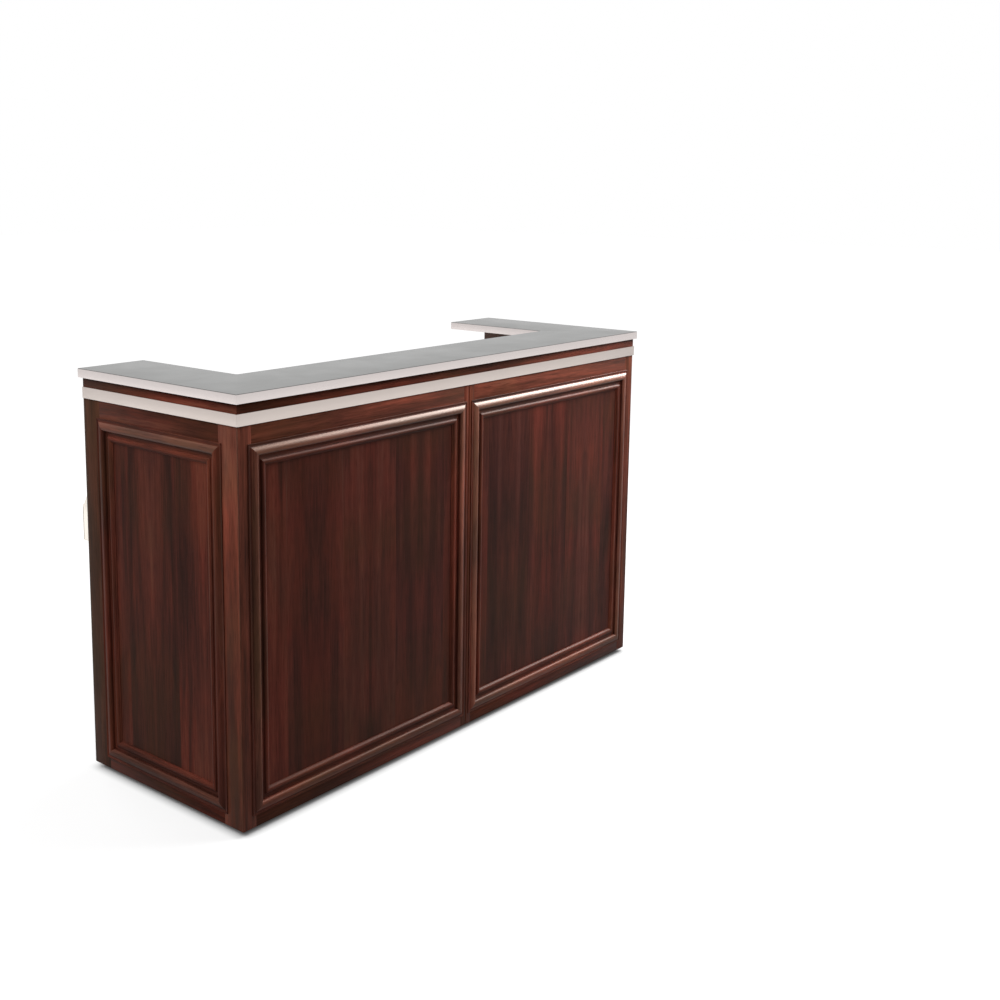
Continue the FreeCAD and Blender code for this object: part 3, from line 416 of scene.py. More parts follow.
def wood(name, axis, tones, lacquer, leaf_axis=None):
    """Stained and lacquered mahogany with its grain along an axis.

    tones are dark, middle, red and light. With a leaf axis the sheet is laid from narrow
    strips of veneer, turned over in pairs.
    """
    surface = Surface(name)
    place = surface.place()
    if leaf_axis:
        place = veneer_leaves(surface, place, leaf_axis)
    grain = surface.stretch(place, stretched(axis, GRAIN_STRETCH))
    streak = surface.noise(grain, *STREAKS)
    pore_map = surface.stretch(place, stretched(axis, PORE_STRETCH))
    pores = surface.fit(surface.noise(pore_map, *PORES), 0.34, 0.44, 1.0, 0.0)

    colour = stained(surface, place, grain, streak, tones)
    colour = surface.mix(surface.math("MULTIPLY", pores, 0.5), colour, scaled(tones[0], 0.45))
    figure_map = surface.stretch(place, stretched(axis, FIGURE_STRETCH))
    figure = surface.ramp(surface.noise(figure_map, *FIGURE), *FIGURE_SHADES)
    colour = surface.mix(1.0, colour, figure, "MULTIPLY")
    if leaf_axis:
        colour = surface.mix(1.0, colour, leaf_tone(surface, leaf_axis), "MULTIPLY")

    rough, specular, tint, relief = lacquer
    surface.set(Base_Color=colour, Specular_IOR_Level=specular, Specular_Tint=tint)
    surface.rough(streak, rough, 0.05, 0.07)
    surface.bump(surface.total((streak, 0.35), (pores, -0.6)), GRAIN_RELIEF, relief)


def stained(surface, place, grain, streak, tones):
    """The stain's colour along the grain, with clouds that lean to olive."""
    dark, middle, red, light = tones
    wide = surface.noise(grain, *WIDE_GRAIN)
    fine = surface.noise(grain, *FINE_GRAIN)
    mixed = surface.total((wide, 0.60), (streak, 0.31), (fine, 0.12))
    colour = surface.ramp(mixed, (0.40, dark), (0.49, middle), (0.56, red), (0.66, light))
    cloud = surface.fit(surface.noise(place, *CLOUDS), 0.45, 0.7, 0.0, 0.55)
    olive = (middle[0] * 0.86, middle[1] * 1.3, middle[2] * 0.95)
    return surface.mix(cloud, colour, olive)


def leaf_position(surface, leaf_axis):
    """How far along the leaf axis a point is, counted in leaves."""
    return surface.math("DIVIDE", surface.split(surface.coords())[AXIS_NUMBER[leaf_axis]], LEAF_W)


def veneer_leaves(surface, place, leaf_axis):
    """Turns every second leaf over and takes each pair from another place in the log."""
    position = leaf_position(surface, leaf_axis)
    folded = surface.math("MULTIPLY", surface.math("PINGPONG", position, 1.0), LEAF_W)
    pair = surface.math("FLOOR", surface.math("DIVIDE", surface.math("ADD", position, 1.0), 2.0))
    parts = list(surface.split(place))
    parts[AXIS_NUMBER[leaf_axis]] = surface.total((folded, 1.0), (pair, 1.37))
    joined = surface.add("ShaderNodeCombineXYZ")
    for index, part in enumerate(parts):
        surface.put(joined, index, part)
    return joined.outputs[0]


def leaf_tone(surface, leaf_axis):
    """A slightly different tone for each leaf."""
    leaf = surface.math("FLOOR", leaf_position(surface, leaf_axis))
    chance = surface.add("ShaderNodeTexWhiteNoise", {"noise_dimensions": "1D"}, W=leaf).outputs["Value"]
    return surface.ramp(chance, *LEAF_SHADES)


# Shades of the figure and of single leaves, each with its place in the pattern
FIGURE_SHADES = ((0.36, (0.66, 0.72, 0.78)), (0.50, (1.0, 1.0, 1.0)), (0.62, (1.30, 1.10, 1.05)))
LEAF_SHADES = ((0.0, (0.88, 0.88, 0.89)), (0.5, (1.0, 1.0, 1.0)), (1.0, (1.10, 1.06, 1.04)))

# Each wood's dark, middle, red and light tone
FRAME_TONES = (
    (0.026, 0.0083, 0.0052), (0.058, 0.0155, 0.0098), (0.088, 0.0220, 0.0140), (0.120, 0.039, 0.024))
PANEL_TONES = (
    (0.0205, 0.0070, 0.0050), (0.044, 0.0126, 0.0090), (0.066, 0.0175, 0.0125), (0.087, 0.030, 0.0205))
END_PANEL_TONES = (
    (0.0265, 0.0084, 0.0055), (0.057, 0.0151, 0.0098), (0.086, 0.0210, 0.0137), (0.113, 0.036, 0.0225))
# Lighter frame tones: painted top light on the front's upper rail, a paler board on the corner stiles
PALE_AND_TOPLIT_TONES = (
    (0.0493, 0.0166, 0.0103), (0.1008, 0.0286, 0.0177), (0.1478, 0.0403, 0.0252), (0.1926, 0.0650, 0.0403))
REAR_TONES = (
    (0.022, 0.0110, 0.0070), (0.042, 0.0200, 0.0125), (0.058, 0.0260, 0.0165), (0.078, 0.042, 0.027))
# Lighter tones of the beads and the corner arris: painted highlight
BEAD_SHEEN_TONES = (
    (0.048, 0.0175, 0.0115), (0.094, 0.0330, 0.0215), (0.134, 0.0480, 0.0320), (0.170, 0.070, 0.047))

# Lacquers: roughness, specular level, its tint and the strength of the relief
SATIN = (0.44, 0.035, (1.0, 0.75, 0.65), 0.6)
RUBBED = (0.44, 0.045, (1.0, 0.72, 0.58), 0.3)
GLOSSY = (0.33, 0.15, (1.0, 0.70, 0.52), 0.2)
# The near black of painted shade inside the bays
BAY_SHADE_TONE = (0.055, 0.045, 0.036)


def laminate(name, axis, low, high, rough, specular=0.25, painted_shade_below=None):
    """Printed wood laminate with a faint fine grain. Below some height it can be near black: painted shade
    inside the bays.
    """
    surface = Surface(name)
    place = surface.place(stretched(axis, PRINT_STRETCH))
    wide = surface.noise(place, *WIDE_PRINT)
    fine = surface.noise(place, *FINE_PRINT)
    colour = surface.ramp(surface.total((wide, 0.55), (fine, 0.45)), (0.34, low), (0.66, high))
    if painted_shade_below:
        # Painted shade: near black below the given height, inside the bays
        under = surface.math("LESS_THAN", surface.split(surface.coords())[2], painted_shade_below)
        colour = surface.mix(under, colour, BAY_SHADE_TONE)
    surface.set(Base_Color=colour, Specular_IOR_Level=specular)
    surface.rough(fine, rough, 0.05, 0.06)
    surface.bump(fine, PRINT_RELIEF, 0.5)


def brushed_steel(name, axis, colour, rough, streak_share=0.06, bump=0.35, rear_painted_shade_share=1.0):
    """Steel sheet with fine brush lines along an axis and faint hand marks.

    The last argument paints shade on the faces that look to the rear: it is how light they are against the
    other faces.
    """
    surface = Surface(name)
    place = surface.place(stretched(axis, BRUSH_STRETCH))
    lines = surface.noise(place, *BRUSH_LINES)
    bands = surface.noise(place, *BRUSH_BANDS)
    smudge = surface.noise(surface.place(), *HAND_MARKS)
    tone = surface.fit(surface.total((lines, 1.0), (bands, 0.5)), 0.5, 1.0, 0.0, 1.0)
    darker, lighter = scaled(colour, 1 - streak_share), scaled(colour, 1 + streak_share)
    mixed = surface.ramp(tone, (0.0, darker), (1.0, lighter))
    # Painted shade: faces that look to the rear are darker
    if rear_painted_shade_share != 1.0:
        normal = surface.split(surface.add("ShaderNodeNewGeometry").outputs["Normal"])
        rear_facing_shade = surface.fit(normal[1], 0.2, 0.9, 0.0, 1.0)
        mixed = surface.mix(rear_facing_shade, mixed, scaled(colour, rear_painted_shade_share))
    surface.set(Base_Color=mixed, Metallic=1.0)
    surface.rough(surface.total((lines, 0.5), (smudge, 0.5)), rough, 0.05, 0.07, 0.35, 0.65)
    surface.bump(lines, BRUSH_RELIEF, bump)


def plated(name, colour, rough, spangle=0.08):
    """Zinc or nickel plating with a faint mottle."""
    surface = Surface(name)
    mottle = surface.noise(surface.place(), *MOTTLE)
    darker, lighter = scaled(colour, 1 - spangle), scaled(colour, 1 + spangle)
    surface.set(Base_Color=surface.ramp(mottle, (0.35, darker), (0.65, lighter)), Metallic=1.0)
    surface.rough(mottle, rough, 0.04, 0.06)
    surface.bump(mottle, PLATING_RELIEF, 0.3)


def speckled(name, low, high, scale, rough, relief, specular=0.3):
    """A mottled matt surface: raw board, foam or moulded tyre."""
    surface = Surface(name)
    place = surface.place()
    coarse = surface.noise(place, scale, 4, 0.65)
    fine = surface.noise(place, scale * 6, 2, 0.6)
    mixed = surface.total((coarse, 0.6), (fine, 0.4))
    surface.set(Base_Color=surface.ramp(mixed, (0.36, low), (0.64, high)), Specular_IOR_Level=specular)
    surface.rough(coarse, rough, 0.05, 0.05)
    surface.bump(mixed, relief, 0.6)


# Grain axes, tones and lacquer
WOODS = {
    "frame_wood": ("XYZ", FRAME_TONES, SATIN),
    "light_wood": ("XZ", PALE_AND_TOPLIT_TONES, SATIN),
    "mould_wood": ("XYZ", FRAME_TONES, RUBBED),
    # These two carry a painted highlight in their lighter tones
    "bead_wood": ("XYZ", BEAD_SHEEN_TONES, RUBBED),
    "polished_bead": ("XY", BEAD_SHEEN_TONES, GLOSSY),
}

# Brush axis, colour, roughness, share of streaks, bump and how light the faces that look to the rear stay
# under painted shade
STEELS = {
    # The slab's one steel sheet in three tones: the darker top and darkest rim are painted shade, the
    # lighter edge a painted reflection
    "slab_top_steel": ("X", (0.28, 0.28, 0.275), 0.36),
    "slab_rim_steel": ("X", (0.20, 0.19, 0.185), 0.55, 0.03),
    "slab_edge_steel": ("X", (0.625, 0.568, 0.552), 0.30, 0.03),
    "strip_metal": ("X", (0.585, 0.515, 0.478), 0.38, 0.02, 0.15),
    "work_steel_x": ("X", (0.80, 0.77, 0.72), 0.22, 0.04, 0.25),
    "worktop_steel": ("X", (0.74, 0.71, 0.66), 0.26, 0.04, 0.25, 0.80),
    "rail_steel": ("X", (0.82, 0.76, 0.685), 0.26, 0.04, 0.25, 0.60),
    "work_steel_z": ("Z", (0.52, 0.475, 0.42), 0.28, 0.04, 0.25),
}

# Grain axis, dark and light tone, roughness, specular level and the height below which painted bay shade
# makes it near black
BAY_TOP_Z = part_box("worktop_core")[1].z
BAY_SHELF = ((0.034, 0.026, 0.015), (0.058, 0.046, 0.028), 0.5, 0.15)
LINING = ((0.085, 0.047, 0.038), (0.130, 0.076, 0.062), 0.4, 0.15, BAY_TOP_Z)
LAMINATES = {
    "lining_board": ("Z", *LINING),
    "lining_board_x": ("X", *LINING),
    "edge_band_grey": ("Z", (0.105, 0.085, 0.075), (0.145, 0.122, 0.108), 0.42),
    "bay_board_z": ("Z", (0.026, 0.020, 0.014), (0.046, 0.037, 0.026), 0.5, 0.15),
    "bay_board_x": ("X", *BAY_SHELF),
    "bay_board_y": ("Y", *BAY_SHELF),
    "taupe_z": ("Z", (0.168, 0.116, 0.070), (0.258, 0.186, 0.115), 0.42),
    "taupe_x": ("X", (0.172, 0.128, 0.093), (0.246, 0.188, 0.139), 0.42),
    "taupe_edge": ("Z", (0.24, 0.20, 0.155), (0.31, 0.26, 0.205), 0.4),
}

# Colour, roughness and depth of the mottle
PLATINGS = {
    "satin_nickel": ((0.72, 0.68, 0.60), 0.24, 0.03),
    "hinge_steel": ((0.27, 0.26, 0.24), 0.4),
    "zinc_plate": ((0.52, 0.53, 0.545), 0.38, 0.12),
}

# Dark and light tone, scale of the speckle, roughness and relief
MATTS = {
    "core_board": ((0.30, 0.20, 0.11), (0.46, 0.33, 0.20), 180, 0.7, 0.2 * MM),
    "foam_board": ((0.62, 0.60, 0.55), (0.74, 0.72, 0.67), 320, 0.8, 0.2 * MM),
    "wheel_tyre": ((0.018, 0.018, 0.019), (0.036, 0.035, 0.035), 220, 0.62, 0.1 * MM),
}


def build_looks():
    for name, (axes, tones, lacquer) in WOODS.items():
        for axis in axes:
            wood(name + "_" + axis.lower(), axis, tones, lacquer)
    wood("rear_wood", "Z", REAR_TONES, SATIN)
    wood("front_veneer", "Z", PANEL_TONES, SATIN, leaf_axis="X")
    wood("end_veneer", "Z", END_PANEL_TONES, SATIN, leaf_axis="Y")
    tables = {brushed_steel: STEELS, laminate: LAMINATES, plated: PLATINGS, speckled: MATTS}
    for make, table in tables.items():
        for name, values in table.items():
            make(name, *values)


# Framed walls


class Wall:
    """A side of the shell. u runs along it from the front corner, v goes into the bar."""

    def __init__(self, corner, along, inward):
        self.corner = Vector(corner)
        self.along = Vector(along)
        self.inward = Vector(inward)

    def __call__(self, u, v, z):
        return (*(self.corner + self.along * u + self.inward * v), z)

    def back(self, point):
        """The u and v of a point."""
        flat = point.to_2d() - self.corner
        return flat.dot(self.along), flat.dot(self.inward)


front_low, front_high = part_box("front_frame_left")
opening_low, opening_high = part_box("front_mouldings")
SHELL_W = -2 * front_low.x
FRAME_THICK = front_high.y - front_low.y
SHELL_Z0, WOOD_TOP_Z = front_low.z, front_high.z
OPEN_Z0, OPEN_Z1 = opening_low.z + MOULD_LAP, opening_high.z - MOULD_LAP
SHELL_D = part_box("end_edge_bands")[1].y - front_low.y
front_wall = Wall((front_low.x, front_low.y), (1, 0), (0, 1))
left_wall = Wall((front_low.x, front_low.y), (0, 1), (1, 0))
right_wall = Wall((-front_low.x, front_low.y), (0, 1), (-1, 0))


def corner_stile_outline(corner_u, way, width):
    """Plan of a stile that is mitred at the shell's corner and rounded at the arris."""
    outline = arc((ARRIS_R, ARRIS_R), ARRIS_R, 225, 270, 4)
    outline += [(width, 0), (width, FRAME_THICK), (FRAME_THICK, FRAME_THICK)]
    return [(corner_u + way * u, v) for u, v in outline]


def plain_stile_outline(end_u, way, width):
    """Plan of a stile with a small chamfer at its joint."""
    outline = [(0, JOINT_CHAMFER), (JOINT_CHAMFER, 0), (width, 0), (width, FRAME_THICK), (0, FRAME_THICK)]
    return [(end_u + way * u, v) for u, v in outline]


def on_mitre(wall, corner_u, way):
    """Tells whether both ends of an edge lie on the mitre's plane."""
    def off_plane(vert):
        u, v = wall.back(vert.co)
        return abs((u - corner_u) * way - v)
    return lambda edge: all(off_plane(vert) <= MITRE_MARGIN for vert in edge.verts)


def add_frame(shape, wall, u0, u1, stile0, stile1, mitre0, mitre1):
    """Two upright stiles and two rails, as separate boards."""
    for corner_u, way, width, mitred in ((u0, 1, stile0, mitre0), (u1, -1, stile1, mitre1)):
        if mitred:
            shape.prism(corner_stile_outline(corner_u, way, width), SHELL_Z0, WOOD_TOP_Z, wall)
            shape.close(ease=BOARD_EASE, material=CORNER_STILE, keep_sharp=on_mitre(wall, corner_u, way))
            paint_arris_highlight(shape, wall, corner_u)
        else:
            shape.prism(plain_stile_outline(corner_u, way, width), SHELL_Z0, WOOD_TOP_Z, wall)
            shape.close(ease=BOARD_EASE, material=PLAIN)
    rail = [(u0 + stile0, 0), (u1 - stile1, 0), (u1 - stile1, FRAME_THICK), (u0 + stile0, FRAME_THICK)]
    for z0, z1, material in ((SHELL_Z0, OPEN_Z0, LOWER_RAIL), (OPEN_Z1, WOOD_TOP_Z, UPPER_RAIL)):
        shape.prism(rail, z0, z1, wall)
        shape.close(ease=BOARD_EASE, material=material)


def paint_arris_highlight(shape, wall, corner_u):
    """Gives the rounded corner edge of the last stile the lighter, slightly glossier bead wood: a painted
    highlight along the arris.
    """
    for face in shape.bm.faces:
        u, v = wall.back(face.calc_center_median())
        if abs(u - corner_u) < ARRIS_R and v < ARRIS_R and abs(face.normal.z) < 0.3:
            face.material_index = ARRIS


def moulding_section():
    """Points (w, h) of the moulding: w into the opening, h out of the panel's face."""
    fillet1 = FILLET_W - MOULD_LAP
    outer0 = fillet1 + HOLLOW_W
    outer1 = outer0 + OUTER_BEAD_W
    inner0 = outer1 + MOULD_GROOVE_W
    inner1 = inner0 + INNER_BEAD_W
    groove_h = INNER_SHOULDER_H - MOULD_GROOVE_DEPTH
    points = [(0, 0), (0, PANEL_RECESS), (-MOULD_LAP, PANEL_RECESS)]
    points += [(-MOULD_LAP, OUTER_SHOULDER_H - BOARD_EASE), (BOARD_EASE - MOULD_LAP, OUTER_SHOULDER_H)]
    points += bulge((fillet1, OUTER_SHOULDER_H), (outer0, OUTER_SHOULDER_H), -HOLLOW_SAG, 5)
    for bead in bulge((outer0, OUTER_SHOULDER_H), (outer1, OUTER_SHOULDER_H), OUTER_BEAD_RISE, 14)[1:]:
        share = (bead.x - outer0) / OUTER_BEAD_W
        points.append((bead.x + OUTER_BEAD_LEAN * math.sin(math.pi * share), bead.y))
    points += bulge((outer1, groove_h), (inner0, groove_h), -MOULD_GROOVE_SAG, 5)
    points += bulge((inner0, INNER_SHOULDER_H), (inner1, INNER_SHOULDER_H), INNER_BEAD_RISE, 10)
    points += bulge((inner1, INNER_SHOULDER_H), (inner1 + COVE_W, COVE_END_H), -COVE_SAG, 4)[1:]
    points.append((inner1 + COVE_W, 0))
    return points


def add_moulding(shape, wall, u0, u1):
    """Four mitred lengths of moulding round one opening: lower, right, upper and left."""
    corners = [(u0, OPEN_Z0, 1, 1), (u1, OPEN_Z0, -1, 1), (u1, OPEN_Z1, -1, -1), (u0, OPEN_Z1, 1, -1)]
    ways = [(1, 0), (0, 1), (-1, 0), (0, -1)]
    section = moulding_section()
    for side, (way_u, way_z) in enumerate(ways):
        rings = []
        for end, gap in ((side, MITRE_GAP), ((side + 1) % 4, -MITRE_GAP)):
            u, z, into_u, into_z = corners[end]
            u += way_u * gap
            z += way_z * gap
            rings.append([wall(u + into_u * w, PANEL_RECESS - h, z + into_z * w) for w, h in section])
        shape.loft(rings)
        shape.close(material=LEVEL if way_u else UPRIGHT)
    paint_bead_sheen(shape, wall, u0, u1)


def paint_bead_sheen(shape, wall, u0, u1):
    """Gives the large bead round one opening lighter tones, a painted highlight, and on its upper length the
    glossier lacquer.
    """
    shoulder_v = PANEL_RECESS - OUTER_SHOULDER_H - BEAD_LIFT_MARGIN
    for face in shape.bm.faces:
        middle = face.calc_center_median()
        u, v = wall.back(middle)
        into = min(u - u0, u1 - u, middle.z - OPEN_Z0, OPEN_Z1 - middle.z)
        on_bead = -FILLET_W < into < OUTER_BEAD_W - FILLET_W + BEAD_MARGIN
        if v > shoulder_v or not on_bead or face.material_index > LEVEL:
            continue
        if face.material_index == UPRIGHT:
            face.material_index = UPRIGHT_BEAD
        else:
            face.material_index = LOWER_BEAD if middle.z < (OPEN_Z0 + OPEN_Z1) / 2 else UPPER_BEAD


def frame_materials(axis):
    """In the order of the numbers from PLAIN to CORNER_STILE."""
    # On the front the upper rail takes the lighter wood as painted top light, and the arris the bead wood as
    # a painted highlight
    if axis == "x":
        return ["frame_wood_z", "frame_wood_x", "bead_wood_z", "light_wood_x", "light_wood_z"]
    return ["rear_wood", "frame_wood_y", "bead_wood_z", "frame_wood_y", "light_wood_z"]


def moulding_materials(axis):
    """In the order of the numbers from UPRIGHT to LOWER_BEAD."""
    # The bead materials carry a painted highlight; the end walls' upright bead keeps the plain tone
    upright_bead = "bead_wood_z" if axis == "x" else "mould_wood_z"
    return ["mould_wood_z", "mould_wood_" + axis, upright_bead, "polished_bead_" + axis, "bead_wood_" + axis]


def build_frame(part, side, wall, axis, *sizes):
    """The boards of one framed wall, of the front or an end."""
    shape = Shape(FRAME_BOARDS[part + "_" + side])
    add_frame(shape, wall, *sizes)
    shape.piece(
        part + "_boards_" + side, frame_materials(axis), "mahogany", replaces=[part + "_frame_" + side])


def build_front():
    """The front's two framed halves and their mouldings."""
    half = SHELL_W / 2
    halves = {
        "left": (0, half, CORNER_STILE_W, MIDDLE_STILE_W, True, False),
        "right": (half, SHELL_W, MIDDLE_STILE_W, CORNER_STILE_W, False, True),
    }
    mouldings = Shape()
    for side, sizes in halves.items():
        build_frame("front", side, front_wall, "x", *sizes)
        u0, u1, stile0, stile1 = sizes[:4]
        add_moulding(mouldings, front_wall, u0 + stile0, u1 - stile1)
    mouldings.piece("front_beading", moulding_materials("x"), "moulding", replaces=["front_mouldings"])


def build_ends():
    """Both framed end walls, their mouldings and the bands at their rear edges."""
    rear_u = SHELL_D - EDGE_BAND_THICK
    rear_stile = END_STILE_W - EDGE_BAND_THICK
    band_low, band_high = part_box("end_edge_bands")
    wall_thick = -front_low.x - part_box("worktop")[1].x
    band = [(rear_u, 0), (SHELL_D, 0), (SHELL_D, wall_thick), (rear_u, wall_thick)]
    mouldings, bands = Shape(), Shape()
    for side, wall in (("left", left_wall), ("right", right_wall)):
        build_frame("end", side, wall, "y", 0, rear_u, END_STILE_W, rear_stile, True, False)
        add_moulding(mouldings, wall, END_STILE_W, rear_u - rear_stile)
        bands.prism(band, band_low.z, band_high.z, wall)
        bands.close(ease=EDGE_BAND_EASE)
    mouldings.piece("end_beading", moulding_materials("y"), "moulding", replaces=["end_mouldings"])
    bands.piece("rear_edge_bands", ["edge_band_grey"], "edge_band", replaces=["end_edge_bands"])


# Counter


def add_course(shape, outside, thick, z0, z1, rear_u, ease):
    """A front and two end lengths round the shell, mitred at the front corners."""
    inside = thick - outside
    far = SHELL_W + outside
    front = [(-outside, -outside), (far, -outside), (far - thick, inside), (inside, inside)]
    end = [(-outside, -outside), (rear_u, -outside), (rear_u, inside), (inside, inside)]
    for wall, outline, material in ((front_wall, front, 0), (left_wall, end, 1), (right_wall, end, 1)):
        shape.prism(outline, z0, z1, wall)
        shape.close(ease=ease, material=material)


def slab_outline(inset):
    """The counter's U-shaped plan with rounded corners, drawn in on every side."""
    low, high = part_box("counter_top")
    outer_r, inner_r = SLAB_CORNER_R - inset, SLAB_INNER_R + inset
    x0, x1, y0, y1 = low.x + inset, high.x - inset, low.y + inset, high.y - inset
    inner_x = high.x - SLAB_RETURN_W + inset
    inner_y = low.y + SLAB_FRONT_D - inset
    corners = [
        (x0, y0, 1, 1, outer_r, 180, 270),
        (x1, y0, -1, 1, outer_r, 270, 360),
        (x1, y1, -1, -1, outer_r, 0, 90),
        (inner_x, y1, 1, -1, outer_r, 90, 180),
        (inner_x, inner_y, -1, 1, inner_r, 360, 270),
        (-inner_x, inner_y, 1, 1, inner_r, 270, 180),
        (-inner_x, y1, -1, -1, outer_r, 0, 90),
        (x0, y1, 1, -1, outer_r, 90, 180),
    ]
    outline = []
    for x, y, way_x, way_y, radius, start_deg, end_deg in corners:
        outline += arc((x + way_x * radius, y + way_y * radius), radius, start_deg, end_deg, 5)
    return outline


def build_slab():
    """The slab's steel skin: open below, with a hem and a rolled upper edge."""
    low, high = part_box("counter_top")
    profile = [
        (SLAB_SKIN, low.z + SLAB_HEM_H),
        (SLAB_SKIN, low.z + SLAB_HEM_R),
        (SLAB_SKIN - SLAB_HEM_R, low.z),
        (SLAB_HEM_R, low.z),
        (SLAB_HEM_EASE, low.z + SLAB_HEM_EASE),
        (0, low.z + SLAB_HEM_R),
    ]
    profile += arc((SLAB_EDGE_R, high.z - SLAB_EDGE_R), SLAB_EDGE_R, 180, 90, 4)
    shape = Shape()
    rings = [[(*point, z) for point in slab_outline(inset)] for inset, z in profile]
    rows = shape.loft(rings, closed_ends=False)
    top = shape.bm.faces.new(rows[-1])
    shape.close(material=1)
    # Painted shade on the top and the rounded rim, painted reflection on the edge, each as its own tone of
    # the steel
    for face in shape.bm.faces:
        if face.calc_center_median().z > high.z - SLAB_EDGE_R * 0.7:
            face.material_index = 2 if face.normal.z < 0.97 else 0
    bmesh.ops.triangulate(shape.bm, faces=[top])
    shape.piece(
        "slab_skin", ["slab_top_steel", "slab_edge_steel", "slab_rim_steel"], "counter_steel",
        replaces=["counter_top"])


def build_courses():
    band_low, band_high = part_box("top_band")
    strip_low, strip_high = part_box("light_strip")
    band = Shape(TOP_BAND_BOARDS)
    add_course(band, 0, FRAME_THICK, band_low.z, band_high.z, band_high.y - front_low.y, BOARD_EASE)
    band.piece("band_boards", ["frame_wood_x", "frame_wood_y"], "mahogany", replaces=["top_band"])
    strip = Shape()
    rear_u = strip_high.y - front_low.y
    add_course(strip, STRIP_THICK, STRIP_THICK, strip_low.z, strip_high.z, rear_u, STRIP_EASE)
    strip.piece("pale_strip", ["strip_metal", "strip_metal"], "strip", replaces=["light_strip"])


# Sheet metal


def bent_outline(path, thick, inner_r, steps=5):
    """Section of a sheet that is bent along a path of its middle line."""
    radius = inner_r + thick / 2
    middle = []
    path = [Vector(point) for point in path]
    for i, point in enumerate(path):
        if i in (0, len(path) - 1):
            way = (path[1] - path[0] if i == 0 else path[-1] - path[-2]).normalized()
            middle.append((point, Vector((-way.y, way.x))))
            continue
        before = (point - path[i - 1]).normalized()
        after = (path[i + 1] - point).normalized()
        turn = before.angle_signed(after)
        side = -math.copysign(1, turn)
        reach = radius * math.tan(abs(turn) / 2)
        start = point - before * reach
        start_normal = Vector((-before.y, before.x))
        centre = start + start_normal * side * radius
        for k in range(steps + 1):
            spin = Matrix.Rotation(-turn * k / steps, 2)
            normal = spin @ start_normal
            middle.append((centre - normal * side * radius, normal))
    left = [point + normal * thick / 2 for point, normal in middle]
    right = [point - normal * thick / 2 for point, normal in middle]
    return left + right[::-1]


def speed_rail(side):
    """A trough bent from one sheet, with a hemmed lip, welded cheeks and two keyholes."""
    node = "speed_rail_" + side
    low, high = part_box(node)
    half = SPEED_SHEET / 2
    back_y, lip_y = low.y + half, high.y - half
    hem_y = lip_y - SPEED_SHEET - SPEED_HEM_GAP
    lip_z = low.z + SPEED_LIP_H
    path = [(back_y, high.z), (back_y, low.z + half), (lip_y, low.z + half),
            (lip_y, lip_z - half), (hem_y, lip_z - half), (hem_y, lip_z - SPEED_HEM)]
    shape = Shape()
    shape.prism(trough_outline(path), low.x, high.x, lambda y, z, x: (x, y, z))
    shape.close(ease=SPEED_EASE, segments=1, limit_deg=60)
    for x0, x1 in ((low.x, low.x + SPEED_SHEET), (high.x - SPEED_SHEET, high.x)):
        shape.prism(cheek_outline(low, high, hem_y), x0, x1, lambda y, z, x: (x, y, z))
        shape.close(ease=CHEEK_EASE, limit_deg=35)
    trough = shape.piece(node + "_sheet", ["rail_steel"], "work_steel", body=node, replaces=[node])
    cut(trough, keyhole_cutters(low, high))


def trough_outline(path):
    """The trough's section: wide bends below, a tight double bend at the hem."""
    lower = bent_outline(path[:4], SPEED_SHEET, SPEED_BEND_R)
    fold = bent_outline(path[2:], SPEED_SHEET, SPEED_HEM_GAP / 2)
    half_lower, half_fold = len(lower) // 2, len(fold) // 2
    left = lower[:half_lower - 1] + fold[1:half_fold]
    right = fold[half_fold:-1] + lower[half_lower + 1:]
    return left + right


def cheek_outline(low, high, hem_y):
    """A cheek that fills the trough's end, sloped from the back's top to the lip."""
    back, floor = low.y + SPEED_SHEET + CHEEK_FIT, low.z + SPEED_SHEET + CHEEK_FIT
    front = hem_y - SPEED_SHEET / 2 - CHEEK_FIT
    lip_z = low.z + SPEED_LIP_H
    r = SPEED_BEND_R
    outline = arc((back + r, floor + r), r, 180, 270, 3)
    outline += arc((front - r, floor + r), r, 270, 360, 3)
    outline += arc((front - CHEEK_TOP_R, lip_z - CHEEK_TOP_R * 0.6), CHEEK_TOP_R, 0, 55, 4)
    outline += [(back + CHEEK_TOP_R * 0.5, high.z - CHEEK_TOP_R), (back, high.z - CHEEK_TOP_R * 0.8)]
    return outline


def keyhole_cutters(low, high):
    """Closed shapes of the two keyholes: a wide entry below a narrow slot."""
    shape = Shape()
    slot_z = high.z - STUD_DROP
    entry_z = slot_z - KEYHOLE_TRAVEL
    y0, y1 = low.y - CUTTER_REACH, low.y + SPEED_SHEET + CUTTER_REACH
    lean = math.degrees(math.asin(SLOT_R / ENTRY_R))
    for x in (low.x + STUD_INSET, high.x - STUD_INSET):
        outline = arc((x, slot_z), SLOT_R, 0, 180, 12)
        outline += arc((x, entry_z), ENTRY_R, 90 + lean, 450 - lean, 24)
        shape.prism(outline, y0, y1, lambda x, z, y: (x, y, z))
        shape.close()
    return shape.bm


def cut(piece, cutters):
    """Takes closed shapes out of a piece and keeps the result as its mesh."""
    mesh = bpy.data.meshes.new("cutters")
    cutters.to_mesh(mesh)
    cutters.free()
    tool = bpy.data.objects.new("cutters", mesh)
    collection.objects.link(tool)
    modifier = piece.modifiers.new("cut", "BOOLEAN")
    modifier.operation = "DIFFERENCE"
    modifier.object = tool
    modifier.solver = "EXACT"
    tool.matrix_world = piece.matrix_world
    bpy.context.view_layer.update()
    evaluated = piece.evaluated_get(bpy.context.evaluated_depsgraph_get())
    result = bpy.data.meshes.new_from_object(evaluated)
    result.name = piece.name
    piece.modifiers.clear()
    piece.data = result
    bpy.data.objects.remove(tool)
    result.set_sharp_from_angle(angle=math.radians(32))


# Ice bin


